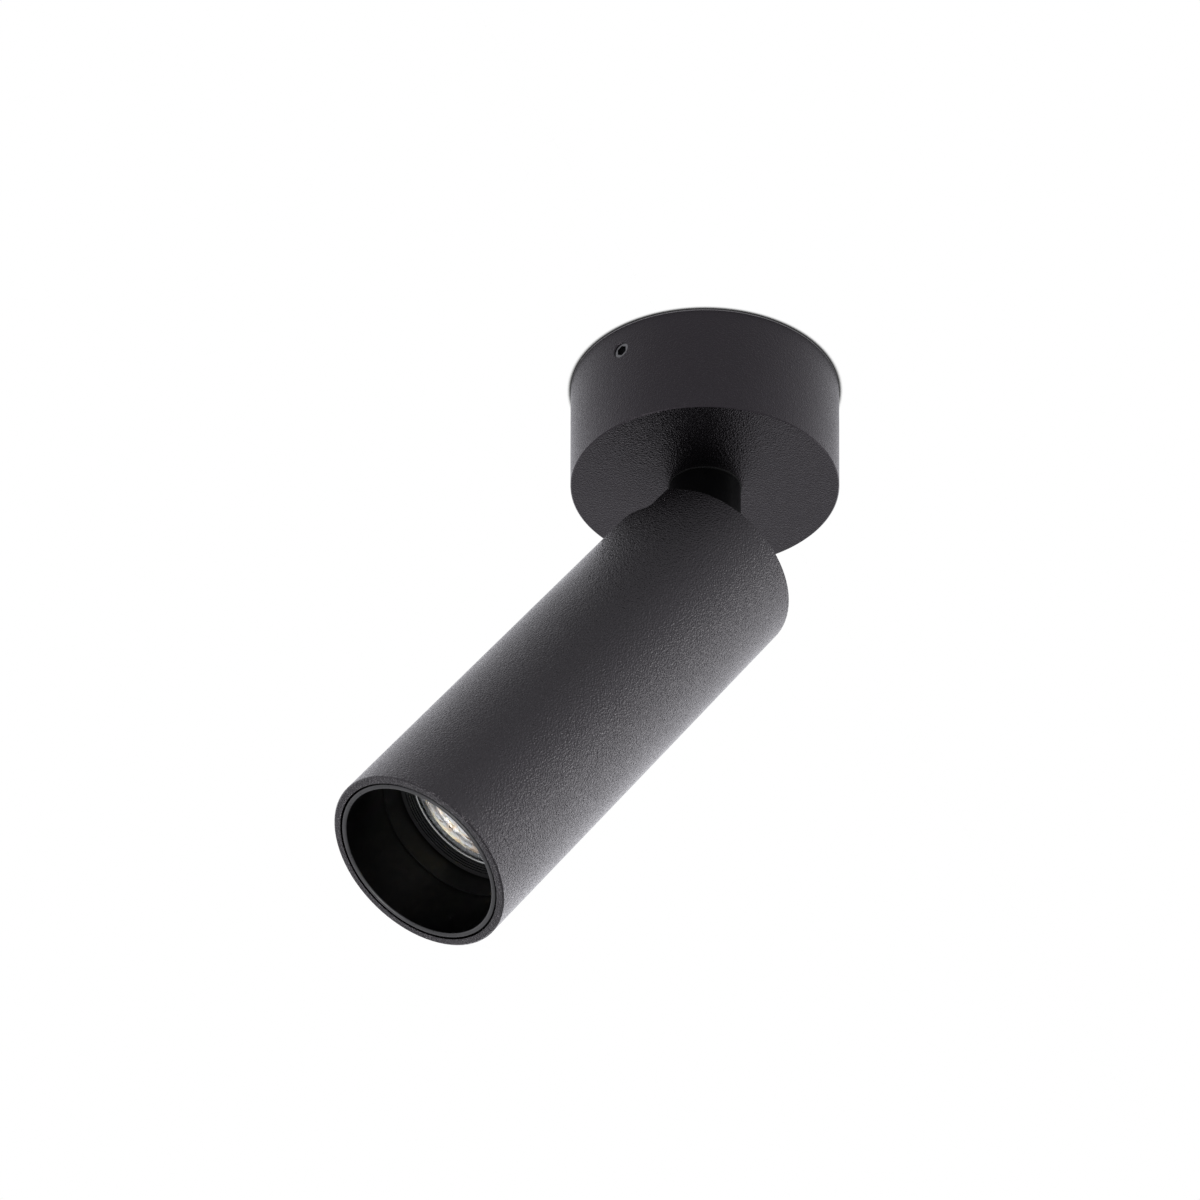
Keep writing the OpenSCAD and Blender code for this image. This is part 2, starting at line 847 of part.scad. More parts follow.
module lock_nut() {
  color(zinc)
    difference() {
      translate([0, 0, nut_z])
        cylinder(d = nut_af / cos(30), h = nut_t, $fn = 6);
      bar(nut_z - over, nut_z + nut_t + over, spigot_r + fit_gap);
    }
}

module lead_bush() {
  color("#e8e8e8")
    difference() {
      union() {
        bar(stem_end_z - bush_l, stem_end_z, stem_bore / 2 - fit_gap);
        bar(stem_end_z, bush_top_z, bush_collar_d / 2);
      }
      bar(stem_end_z - bush_l - over, bush_top_z + over, lead_r + fit_gap);
    }
}

module stem_lead() {
  end_z = pivot_z + lead_end_drop;
  color(dark) {
    bar(end_z, bush_top_z + lead_end_gap, lead_r);
    translate([0, 0, end_z])
      sphere(r = lead_r);
  }
}

module pivot_screws() {
  color(steel)
    translate([0, 0, pivot_z])
      both_sides()
        difference() {
          union() {
            side_bar(knuckle_y - pivot_thread_len, knuckle_y + over, pivot_thread_d / 2);
            side_bar(knuckle_y, pivot_head_y, pivot_d / 2);
            side_bar(pivot_head_y, pivot_head_y + pivot_head_h, pivot_head_d / 2);
          }
          rotate([-90, 0, 0])
            hex_socket(pivot_head_y + pivot_head_h, pivot_socket, pivot_socket_deep);
        }
}

module pivot_washers() {
  color(steel)
    translate([0, 0, pivot_z])
      both_sides()
        side_bar(knuckle_y + fit_gap, knuckle_y + fit_gap + pivot_washer_t,
                 pivot_washer_d / 2, pivot_d / 2 + fit_gap);
}

// Head

module yoke_screw_places() {
  both_sides()
    translate([0, yoke_screw_r, 0])
      children();
}

// The rear slot's cutter, with round corners at its front end
module rear_slot() {
  low = pivot_inset - rear_slot_deep;
  half = rear_slot_w / 2;
  translate([-tube_r - over, -half, low + rear_slot_r])
    cube([tube_r + over, rear_slot_w, rear_slot_deep + over]);
  translate([-tube_r - over, -half + rear_slot_r, low])
    cube([tube_r + over, rear_slot_w - 2 * rear_slot_r, rear_slot_deep + over]);
  for (side = [-1, 1])
    translate([0, side * (half - rear_slot_r), low + rear_slot_r])
      rotate([0, -90, 0])
        cylinder(r = rear_slot_r, h = tube_r + over);
}

module head_tube() {
  color(black)
    in_head()
      difference() {
        turned([
          [0, 0], [tube_r - tube_edge, 0], [tube_r, tube_edge],
          [tube_r, tube_l - tube_edge], [tube_r - tube_edge, tube_l], [0, tube_l]
        ]);
        tube_bar(-over, web_u, bore_r);
        tube_bar(sink_u, tube_l + over, bore_r);
        tube_bar(web_u - over, sink_u + over, lead_r + grommet_wall);
        yoke_screw_places()
          tube_bar(web_u - over, sink_u + over, yoke_screw_d / 2 + fit_gap);
        rear_slot();
      }
}

module yoke() {
  color(dark)
    in_head()
      difference() {
        union() {
          tube_bar(base_u, web_u, yoke_base_d / 2);
          both_sides() {
            side_bar(ear_y, ear_y + yoke_t, ear_w / 2);
            translate([-ear_w / 2, ear_y, pivot_inset - web_u])
              cube([ear_w, yoke_t, web_u - pivot_inset]);
          }
        }
        side_bar(-pivot_head_y - over, pivot_head_y + over, pivot_d / 2 + run_gap);
        tube_bar(base_u - over, web_u + over, lead_r + grommet_wall);
        yoke_screw_places()
          tube_bar(base_u - over, web_u + over, yoke_screw_d / 2 + fit_gap);
      }
}

module yoke_screws() {
  slot_share = 0.2;
  color(dark)
    in_head()
      yoke_screw_places()
        difference() {
          union() {
            tube_bar(base_u, sink_u + yoke_screw_grip, yoke_screw_d / 2);
            tube_bar(base_u - yoke_head_h, base_u, yoke_head_d / 2);
          }
          block(0, 0, 2 * yoke_head_d, yoke_head_d * slot_share,
                pivot_inset - base_u + yoke_head_h / 2, pivot_inset - base_u + yoke_head_h + over);
        }
}

module head_grommet() {
  color(dark)
    in_head()
      tube_bar(base_u, sink_u, lead_r + grommet_wall - fit_gap, lead_r + fit_gap);
}

module head_lead() {
  color(dark)
    in_head() {
      bar(pivot_inset - lead_end_u, -lead_end_drop, lead_r);
      translate([0, 0, -lead_end_drop])
        sphere(r = lead_r);
    }
}

// Where the two wires run: turned between the fins, the second one opposite the first
module wire_places() {
  for (turn = [wire_angle, wire_angle + 180])
    rotate([0, 0, turn])
      children();
}

module heat_sink() {
  fin_r = bore_r - fin_gap;
  fin_u = sink_u + fin_end_gap;
  color(alu)
    in_head()
      difference() {
        union() {
          tube_bar(sink_u, disc_u + 2 * over, core_d / 2);
          tube_bar(disc_u, led_u, ring_r);
          for (fin = [1:fin_count])
            rotate([0, 0, fin * 360 / fin_count])
              translate([core_bore / 2 + over, -fin_t / 2, pivot_inset - disc_u - over])
                cube([fin_r - core_bore / 2 - over, fin_t, disc_u + over - fin_u]);
          yoke_screw_places()
            tube_bar(sink_u, sink_u + sink_boss_l, sink_boss_d / 2);
        }
        tube_bar(sink_u - over, disc_u - fit_gap, core_bore / 2);
        yoke_screw_places()
          tube_bar(sink_u - over, sink_u + yoke_screw_grip + over, yoke_screw_d / 2 + fit_gap);
        wire_places() {
          translate([0, 0, pivot_inset - wire_u])
            rotate([0, 90, 0])
              bar(0, core_d / 2 + over, led_wire_d / 2 + free_gap);
          translate([led_wire_r, 0, 0])
            tube_bar(disc_u - over, led_u + over, led_wire_d / 2 + free_gap);
        }
        holder_screw_places()
          tube_bar(led_u - holder_screw_grip - over, led_u + over, holder_screw_d / 2 + fit_gap);
      }
}

module led_wires() {
  color("#b03028")
    in_head()
      wire_places() {
        translate([wire_split, 0, 0]) {
          tube_bar(lead_end_u, wire_u, led_wire_d / 2);
          translate([0, 0, pivot_inset - wire_u])
            sphere(r = led_wire_d / 2);
        }
        translate([0, 0, pivot_inset - wire_u])
          rotate([0, 90, 0])
            bar(wire_split, led_wire_r, led_wire_d / 2);
        translate([led_wire_r, 0, 0]) {
          tube_bar(wire_u, led_u, led_wire_d / 2);
          translate([0, 0, pivot_inset - wire_u])
            sphere(r = led_wire_d / 2);
        }
      }
}

// Lamp

module holder_screw_places() {
  both_sides()
    translate([holder_screw_r, 0, 0])
      children();
}

module led_board() {
  color("#e8e8e4")
    in_head()
      block(0, 0, led_board_w, led_board_w,
            pivot_inset - led_u - led_board_t, pivot_inset - led_u);
}

module led_emitter() {
  color("#e8c24a")
    in_head()
      tube_bar(led_u + led_board_t, led_u + led_board_t + led_face_t, led_face_d / 2);
}

module led_holder() {
  pocket = led_board_w + 2 * free_gap;
  color("#f0f0ee")
    in_head()
      difference() {
        tube_bar(led_u, led_u + holder_t, holder_d / 2);
        tube_bar(led_u - over, led_u + holder_t + over, reflector_throat / 2);
        block(0, 0, pocket, pocket,
              pivot_inset - led_u - led_board_t - fit_gap, pivot_inset - led_u + over);
        holder_screw_places()
          tube_bar(led_u - over, led_u + holder_t + over, holder_screw_d / 2 + fit_gap);
      }
}

module led_holder_screws() {
  slot_share = 0.2;
  face = pivot_inset - led_u - holder_t;
  color(steel)
    in_head()
      holder_screw_places()
        difference() {
          union() {
            tube_bar(led_u - holder_screw_grip, led_u + holder_t, holder_screw_d / 2);
            tube_bar(led_u + holder_t, led_u + holder_t + holder_head_h, holder_head_d / 2);
          }
          block(0, 0, 2 * holder_head_d, holder_head_d * slot_share,
                face - holder_head_h - over, face - holder_head_h / 2);
        }
}

module optic_sleeve() {
  color(dark)
    in_head()
      tube_bar(led_u, flange_u, ring_r, ring_r - sleeve_wall);
}

// Radius of the reflector's bowl at a share of its depth, a paraboloid
function bowl_r(depth_share) =
  sqrt(pow(reflector_throat / 2, 2)
       + (pow(reflector_d / 2, 2) - pow(reflector_throat / 2, 2)) * depth_share);

module reflector() {
  inner = [
    for (step = [0:reflector_steps])
      [bowl_r(step / reflector_steps), throat_u + reflector_deep * step / reflector_steps]
  ];
  outer = [
    for (step = [reflector_steps:-1:0])
      [bowl_r(step / reflector_steps) + reflector_t,
       throat_u + reflector_deep * step / reflector_steps]
  ];
  color("#e3e5e8")
    in_head()
      turned(concat(
        inner,
        [[bowl_r(1), lens_back_u], [ring_r, lens_back_u], [ring_r, flange_u]],
        outer
      ));
}

module lens() {
  color("#cfd8dc", 0.4)
    in_head()
      turned([
        [0, lens_back_u], [lens_flange_r, lens_back_u],
        [lens_flange_r, lens_back_u + lens_flange_t], [lens_r, lens_back_u + lens_flange_t],
        [lens_r, lens_front_u], [0, lens_front_u]
      ]);
}

// The ring holds the lens by its flange and steps outwards in front of it
module lens_ring() {
  seat_r = lens_flange_r + fit_gap;
  hole_r = lens_r + run_gap;
  steps = [
    for (step = [0:groove_count - 1])
      for (corner = [0, 1])
        [hole_r + (step + corner) * groove_step_r, lens_front_u + step * groove_step_u]
  ];
  color(dark)
    in_head()
      turned(concat(
        [
          [ring_r, lens_back_u], [seat_r, lens_back_u],
          [seat_r, lens_back_u + lens_flange_t + fit_gap],
          [hole_r, lens_back_u + lens_flange_t + fit_gap]
        ],
        steps,
        [[land_r, lens_ring_u], [ring_r, lens_ring_u]]
      ));
}

module baffle_spacer() {
  color(dark)
    in_head()
      tube_bar(lens_ring_u, spacer_u, ring_r, spacer_in_r);
}

module front_baffle() {
  color(dark)
    in_head()
      difference() {
        turned([
          [baffle_in_r, spacer_u], [baffle_r, spacer_u],
          [baffle_r, tube_l - lip_edge], [baffle_r - lip_edge, tube_l],
          [baffle_in_r + lip_edge, tube_l], [baffle_in_r, tube_l - lip_edge]
        ]);
        tube_bar(seal_u - seal_r - fit_gap, seal_u + seal_r + fit_gap,
                 baffle_r + over, seal_mid_r - seal_r - fit_gap);
      }
}

module baffle_o_ring() {
  color("#0d0d0e")
    in_head()
      translate([0, 0, pivot_inset - seal_u])
        rotate_extrude()
          translate([seal_mid_r, 0])
            circle(r = seal_r, $fn = 32);
}

canopy();
mounting_bracket();
canopy_grub_screws();
bracket_screws();
cable_grommet();
terminal_block();
terminal_screws();
earth_tag();
earth_screw();
driver_case();
driver_lid();
driver_board();
driver_transformer();
driver_capacitors();
supply_wires();
driver_lead();
stop_pin();
swivel_washer();
stem();
spring_washer();
stop_washer();
lock_nut();
lead_bush();
stem_lead();
pivot_screws();
pivot_washers();
head_tube();
yoke();
yoke_screws();
head_grommet();
head_lead();
heat_sink();
led_wires();
led_board();
led_emitter();
led_holder();
led_holder_screws();
optic_sleeve();
reflector();
lens();
lens_ring();
baffle_spacer();
front_baffle();
baffle_o_ring();
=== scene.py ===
"""Surface mounted ceiling spotlight: finishes, front optics, studio and camera.

Metres, in the model's own frame: the ceiling is at z = 0 and the tube tilts towards -X.
"""

import logging
import math
from collections.abc import Iterable, Sequence
from dataclasses import dataclass, field
from enum import Enum
from typing import ClassVar

import bmesh
import bpy
from mathutils import Matrix, Vector


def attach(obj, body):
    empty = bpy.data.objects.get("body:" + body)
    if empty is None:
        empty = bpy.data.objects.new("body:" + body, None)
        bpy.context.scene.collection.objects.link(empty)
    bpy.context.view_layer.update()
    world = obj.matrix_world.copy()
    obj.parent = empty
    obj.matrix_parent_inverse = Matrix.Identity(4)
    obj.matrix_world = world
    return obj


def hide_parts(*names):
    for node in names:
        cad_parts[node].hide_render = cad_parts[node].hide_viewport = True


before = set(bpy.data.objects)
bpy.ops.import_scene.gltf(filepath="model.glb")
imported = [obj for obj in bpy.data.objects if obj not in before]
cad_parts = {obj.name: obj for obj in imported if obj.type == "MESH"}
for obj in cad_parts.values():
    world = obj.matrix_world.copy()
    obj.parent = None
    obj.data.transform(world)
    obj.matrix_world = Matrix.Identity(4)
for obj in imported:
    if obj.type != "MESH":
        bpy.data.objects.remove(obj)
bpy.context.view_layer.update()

log = logging.getLogger("spotlight")

MM = 0.001
MOST_OF_NOISE = (0.3, 0.7)

Colour = tuple[float, float, float]
Point = tuple[float, float]
Ring = list[bmesh.types.BMVert]


class Body(Enum):
    """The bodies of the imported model."""

    CANOPY = "canopy"
    STEM = "stem"
    HEAD = "head"


class Axes(Enum):
    """Which axes a surface pattern follows: the whole part's, or those of the tilted tube."""

    PART = "part"
    TUBE = "tube"


@dataclass(frozen=True)
class TubeAxes:
    """Where the tube stands at rest.

    The tilt axis lies pivot_drop below the ceiling and pivot_inset inside the tube's rear end.
    """

    pivot_drop: float = 66.8 * MM
    tilt: float = math.radians(35)
    pivot_inset: float = 1.5 * MM

    def matrix(self) -> Matrix:
        """Give the matrix that places the tube's own axes, with z = 0 on the tilt axis."""
        return Matrix.Translation((0, 0, -self.pivot_drop)) @ Matrix.Rotation(self.tilt, 4, "Y")

    def height(self, depth: float) -> float:
        """Give the z on the tube's own axes of a distance from its rear end."""
        return self.pivot_inset - depth


TUBE = TubeAxes()


def shaded(colour: Colour, factor: float) -> Colour:
    """Give a colour that is darker or lighter by a factor."""
    return tuple(factor * part for part in colour)


# Shader graphs


class Signal:
    """A shader value that Python arithmetic works on: each operator adds a Math node."""

    def __init__(self, graph: "Graph", socket: bpy.types.NodeSocket) -> None:
        """Keep the graph and the output socket."""
        self.graph = graph
        self.socket = socket

    def _math(self, operation: str, *values: "Signal | float") -> "Signal":
        """Add a Math node.

        Args:
            operation: the node's operation.
            values: its one or two inputs, in order.

        Returns:
            The node's result.
        """
        return self.graph.node("ShaderNodeMath", {"operation": operation}, dict(enumerate(values)))

    def __add__(self, other: "Signal | float") -> "Signal":
        """Add a value."""
        return self._math("ADD", self, other)

    __radd__ = __add__

    def __sub__(self, other: "Signal | float") -> "Signal":
        """Take a value away."""
        return self._math("SUBTRACT", self, other)

    def __rsub__(self, other: "Signal | float") -> "Signal":
        """Take this away from a value."""
        return self._math("SUBTRACT", other, self)

    def __mul__(self, other: "Signal | float") -> "Signal":
        """Multiply by a value."""
        return self._math("MULTIPLY", self, other)

    __rmul__ = __mul__

    def __lt__(self, other: "Signal | float") -> "Signal":
        """Give 1 where this is less than a value, else 0."""
        return self._math("LESS_THAN", self, other)

    def __gt__(self, other: "Signal | float") -> "Signal":
        """Give 1 where this is more than a value, else 0."""
        return self._math("GREATER_THAN", self, other)

    def sine(self) -> "Signal":
        """Give the sine."""
        return self._math("SINE", self)

    def either(self, other: "Signal | float") -> "Signal":
        """Give the larger of this and a value."""
        return self._math("MAXIMUM", self, other)

    def ramp(self, low: float, high: float, start: float = 0.0, end: float = 1.0) -> "Signal":
        """Map a range of this value smoothly to another range, and hold it at the ends.

        Args:
            low: the value that maps to start.
            high: the value that maps to end.
            start: the result at low and beyond.
            end: the result at high and beyond.

        Returns:
            The mapped value.
        """
        return self.graph.node(
            "ShaderNodeMapRange", {"interpolation_type": "SMOOTHSTEP"},
            {"Value": self, "From Min": low, "From Max": high, "To Min": start, "To Max": end},
        )

    def about(self, middle: float, reach: float) -> "Signal":
        """Map a noise to a range about a value."""
        return self.ramp(*MOST_OF_NOISE, middle - reach, middle + reach)


class Graph:
    """The node tree of one material or of the world."""

    def __init__(self, tree: bpy.types.NodeTree) -> None:
        """Start from an empty tree."""
        tree.nodes.clear()
        self.tree = tree

    def node(
        self,
        kind: str,
        settings: dict[str, object] | None = None,
        inputs: dict[str | int, object] | None = None,
        output: str | int = 0,
    ) -> Signal:
        """Add a node of any type.

        Args:
            kind: the node's type.
            settings: the node's properties, set first.
            inputs: values or signals for its sockets, by name or number.
            output: the output to give back.

        Returns:
            That output.
        """
        made = self.tree.nodes.new(kind)
        for name, value in (settings or {}).items():
            setattr(made, name, value)
        for name, value in (inputs or {}).items():
            self._feed(made.inputs[name], value)
        return Signal(self, made.outputs[output])

    def _feed(self, socket: bpy.types.NodeSocket, value: object) -> None:
        """Link a signal to a socket, or set the socket's own value.

        Args:
            socket: the input socket.
            value: a signal, a number, a vector, or a colour with or without its fourth part.
        """
        if isinstance(value, Signal):
            self.tree.links.new(value.socket, socket)
        elif socket.type == "RGBA" and len(value) == 3:
            socket.default_value = (*value, 1.0)
        else:
            socket.default_value = value

    def mix(self, share: Signal | float, first: object, second: object) -> Signal:
        """Mix two colours.

        Args:
            share: how much of the second colour.
            first: the first colour.
            second: the second colour.

        Returns:
            The mixed colour.
        """
        settings = {"data_type": "RGBA", "blend_type": "MIX"}
        return self.node("ShaderNodeMix", settings, {0: share, 6: first, 7: second}, 2)

    def place(self, axes: Axes = Axes.PART) -> Signal:
        """Give the place on the surface in metres.

        Args:
            axes: the axes to give it on.

        Returns:
            The place.
        """
        at = self.node("ShaderNodeTexCoord", output="Object")
        if axes is Axes.PART:
            return at
        return self.node(
            "ShaderNodeMapping", {"vector_type": "TEXTURE"},
            {"Vector": at, "Location": (0, 0, -TUBE.pivot_drop), "Rotation": (0, TUBE.tilt, 0)},
        )

    def vector(self, operation: str, first: Signal, second: Colour) -> Signal:
        """Work out a vector from two others."""
        return self.node("ShaderNodeVectorMath", {"operation": operation}, {0: first, 1: second})

    def noise(self, at: Signal, grain: float, detail: float = 2.0, rough: float = 0.5) -> Signal:
        """Make a cloudy pattern.

        Args:
            at: the place.
            grain: the size of its features, in metres.
            detail: how many finer layers it has.
            rough: how strong the finer layers are.

        Returns:
            A value about 0.5.
        """
        inputs = {"Vector": at, "Scale": 1 / grain, "Detail": detail, "Roughness": rough}
        return self.node("ShaderNodeTexNoise", {}, inputs)

    def cells(
        self, at: Signal, grain: float, output: str = "Distance", feature: str = "F1"
    ) -> Signal:
        """Make a pattern of cells.

        Args:
            at: the place.
            grain: the size of a cell, in metres.
            output: the output to give back.
            feature: what the pattern measures.

        Returns:
            That output.
        """
        inputs = {"Vector": at, "Scale": 1 / grain}
        return self.node("ShaderNodeTexVoronoi", {"feature": feature}, inputs, output)

    def along(self, at: Signal, axis: str) -> Signal:
        """Give one coordinate of a place, or one part of a colour."""
        return self.node("ShaderNodeSeparateXYZ", {}, {0: at}, axis)

    def radius(self, at: Signal) -> Signal:
        """Give the distance from the z axis."""
        flat = self.vector("MULTIPLY", at, (1, 1, 0))
        return self.node("ShaderNodeVectorMath", {"operation": "LENGTH"}, {0: flat}, "Value")

    def relief(self, height: Signal, depth: float) -> Signal:
        """Turn a height into a bumped normal. A height of 1 is the depth, in metres."""
        return self.node("ShaderNodeBump", {}, {"Height": height, "Distance": depth})

    def principled(self, inputs: dict[str | int, object]) -> Signal:
        """Add a Principled shader."""
        return self.node("ShaderNodeBsdfPrincipled", {}, inputs)

    def show(self, shader: Signal, world: bool = False) -> None:
        """Send a shader to a new output node."""
        kind = "ShaderNodeOutputWorld" if world else "ShaderNodeOutputMaterial"
        self._feed(self.tree.nodes.new(kind).inputs["Surface"], shader)


# Finishes


@dataclass(frozen=True)
class Finish:
    """A finish: its colour and roughness, how far the roughness strays, and its pattern's axes."""

    name: str
    colour: Colour
    roughness: float = 0.5
    axes: Axes = Axes.PART
    stray: float = 0.05

    def material(self) -> bpy.types.Material:
        """Make the material, unless it is there already.

        Returns:
            The material.
        """
        made = bpy.data.materials.get(self.name)
        if made is None:
            made = bpy.data.materials.new(self.name)
            made.use_nodes = True
            graph = Graph(made.node_tree)
            graph.show(self.shade(graph))
        return made

    def shade(self, graph: Graph) -> Signal:
        """Build the shader."""
        raise NotImplementedError


@dataclass(frozen=True)
class PowderCoat(Finish):
    """Fine-textured powder coat: close grains, a slow change of gloss, a few specks of dust.

    Near the ceiling it carries a painted highlight: a paler shade, painted within a set depth of
    the ceiling where the top edge catches the light. It has no grains where z lies in smooth_edge.
    The grains' mean height is relief_middle.
    """

    stray: float = 0.03
    grain: float = 0.54 * MM
    grain_height: float = 0.33 * MM
    grain_range: Point = (0.35, 0.65)
    grain_stray: float = 0.08
    relief_shares: Point = (0.8, 0.5)
    cloud: float = 20 * MM
    cloud_shade: float = 1.35
    speck: float = 3.2 * MM
    speck_radius: float = 0.035
    speckless: float = 0.93
    speck_colour: Colour = (0.25, 0.25, 0.26)
    shine: float = 0.5
    # painted reflection tint: reflections are tinted purple, standing in for a slightly purple
    # light
    cast: Colour = (1.0, 0.94, 1.0)
    # painted highlight: its depth from the ceiling and its paler colour
    painted_highlight_depth: float = 0.0
    painted_highlight_colour: Colour = (0.34, 0.33, 0.34)
    smooth_edge: Point = (0.0, 0.0)
    relief_middle: float = 0.65

    def shade(self, graph: Graph) -> Signal:
        """Build the shader.

        Args:
            graph: the material's graph.

        Returns:
            The shader.
        """
        at = graph.place(self.axes)
        grains = graph.noise(at, self.grain, 2.0, 0.55)
        pits = graph.cells(at, self.grain)
        slow = graph.noise(at, self.cloud)
        distance = graph.cells(at, self.speck)
        chance = graph.along(graph.cells(at, self.speck, "Color"), "X")
        specks = (distance < self.speck_radius) * (chance > self.speckless)
        share = slow.ramp(*MOST_OF_NOISE)
        tint = graph.mix(share, self.colour, shaded(self.colour, self.cloud_shade))
        # painted highlight: a paler colour within a set depth of the ceiling, standing in for
        # light on the top edge
        if self.painted_highlight_depth:
            tint = graph.mix(graph.along(at, "Z") > -self.painted_highlight_depth, tint, self.painted_highlight_colour)
        grain_gloss = grains.ramp(*self.grain_range, -self.grain_stray, self.grain_stray)
        height = grains * self.relief_shares[0] + pits * self.relief_shares[1]
        if any(self.smooth_edge):
            low, high = self.smooth_edge
            z = graph.along(at, "Z")
            edge = (z > low) * (z < high)
            height = (height - self.relief_middle) * (1 - edge) + self.relief_middle
        return graph.principled({
            "Base Color": graph.mix(specks, tint, self.speck_colour),
            "Roughness": slow.about(self.roughness, self.stray) + grain_gloss,
            "Specular IOR Level": self.shine,
            "Specular Tint": (*self.cast, 1.0),
            "Normal": graph.relief(height, self.grain_height),
        })


@dataclass(frozen=True)
class Satin(Finish):
    """Smooth satin black: turned lines round an axis, under a soft gloss."""

    stray: float = 0.04
    line: float = 0.12 * MM
    line_height: float = 0.002 * MM
    line_stretch: Colour = (0.02, 0.02, 1)
    cloud: float = 6 * MM
    cloud_shade: float = 1.4
    shine: float = 0.42

    def shade(self, graph: Graph) -> Signal:
        """Build the shader.

        Args:
            graph: the material's graph.

        Returns:
            The shader.
        """
        at = graph.place(self.axes)
        lines = graph.noise(graph.vector("MULTIPLY", at, self.line_stretch), self.line, 1.0)
        cloud = graph.noise(at, self.cloud, 3.0)
        share = cloud.ramp(*MOST_OF_NOISE)
        return graph.principled({
            "Base Color": graph.mix(share, self.colour, shaded(self.colour, self.cloud_shade)),
            "Roughness": cloud.about(self.roughness, self.stray),
            "Specular IOR Level": self.shine,
            "Normal": graph.relief(lines, self.line_height),
        })


@dataclass(frozen=True)
class Metal(Finish):
    """Bare or plated metal: brushed along one axis, with spangles and light stains."""

    stray: float = 0.06
    brush: Colour = (1.0, 1.0, 0.03)
    brush_width: float = 0.15 * MM
    brush_height: float = 0.004 * MM
    spangle: float = 1.6 * MM
    spangle_gloss: float = 0.06
    cloud: float = 7 * MM
    stain: Colour = (0.6, 0.58, 0.5)
    stain_range: Point = (0.45, 0.75)
    stain_share: float = 0.25

    def shade(self, graph: Graph) -> Signal:
        """Build the shader.

        Args:
            graph: the material's graph.

        Returns:
            The shader.
        """
        at = graph.place(self.axes)
        brushed = graph.noise(graph.vector("MULTIPLY", at, self.brush), self.brush_width)
        spangle = graph.along(graph.cells(at, self.spangle, "Color"), "X")
        cloud = graph.noise(at, self.cloud, 3.0)
        stained = cloud.ramp(*self.stain_range, 0.0, self.stain_share)
        rough = spangle * self.spangle_gloss + brushed.about(self.roughness, self.stray)
        return graph.principled({
            "Base Color": graph.mix(stained, self.colour, self.stain),
            "Metallic": 1.0,
            "Roughness": rough,
            "Normal": graph.relief(brushed, self.brush_height),
        })


@dataclass(frozen=True)
class Moulded(Finish):
    """Moulded plastic or rubber: a fine spark-eroded texture, and a slight change of colour."""

    grain: float = 0.25 * MM
    grain_height: float = 0.008 * MM
    cloud: float = 9 * MM
    cloud_shade: float = 0.85
    shine: float = 0.5

    def shade(self, graph: Graph) -> Signal:
        """Build the shader.

        Args:
            graph: the material's graph.

        Returns:
            The shader.
        """
        at = graph.place(self.axes)
        grains = graph.noise(at, self.grain, 2.0, 0.6)
        share = graph.noise(at, self.cloud).ramp(*MOST_OF_NOISE)
        return graph.principled({
            "Base Color": graph.mix(share, self.colour, shaded(self.colour, self.cloud_shade)),
            "Roughness": grains.about(self.roughness, self.stray),
            "Specular IOR Level": self.shine,
            "Normal": graph.relief(grains, self.grain_height),
        })


@dataclass(frozen=True)
class CircuitBoard(Finish):
    """A board under solder mask, with tracks that show as a second shade."""

    track: Colour = (0.03, 0.16, 0.07)
    track_pitch: float = 1.4 * MM
    track_range: Point = (0.1, 0.14)
    track_height: float = 0.03 * MM
    weave: float = 0.3 * MM

    def shade(self, graph: Graph) -> Signal:
        """Build the shader.

        Args:
            graph: the material's graph.

        Returns:
            The shader.
        """
        at = graph.place(self.axes)
        edges = graph.cells(at, self.track_pitch, feature="DISTANCE_TO_EDGE")
        tracks = edges.ramp(*self.track_range)
        weave = graph.noise(at, self.weave, 1.0)
        return graph.principled({
            "Base Color": graph.mix(tracks, self.colour, self.track),
            "Roughness": weave.about(self.roughness, self.stray),
            "Normal": graph.relief(tracks, self.track_height),
        })


@dataclass(frozen=True)
class Wound(Finish):
    """A taped winding or a sleeve: bands of a set width along z."""

    stray: float = 0.06
    band: float = 1.5 * MM
    edge_range: Point = (0.8, 0.98)
    edge_shade: float = 0.6
    edge_height: float = 0.04 * MM
    cloud: float = 2 * MM

    def shade(self, graph: Graph) -> Signal:
        """Build the shader.

        Args:
            graph: the material's graph.

        Returns:
            The shader.
        """
        at = graph.place(self.axes)
        wave = (graph.along(at, "Z") * (math.tau / self.band)).sine()
        edges = wave.ramp(*self.edge_range)
        return graph.principled({
            "Base Color": graph.mix(edges, self.colour, shaded(self.colour, self.edge_shade)),
            "Roughness": graph.noise(at, self.cloud).about(self.roughness, self.stray),
            "Normal": graph.relief(edges, self.edge_height),
        })


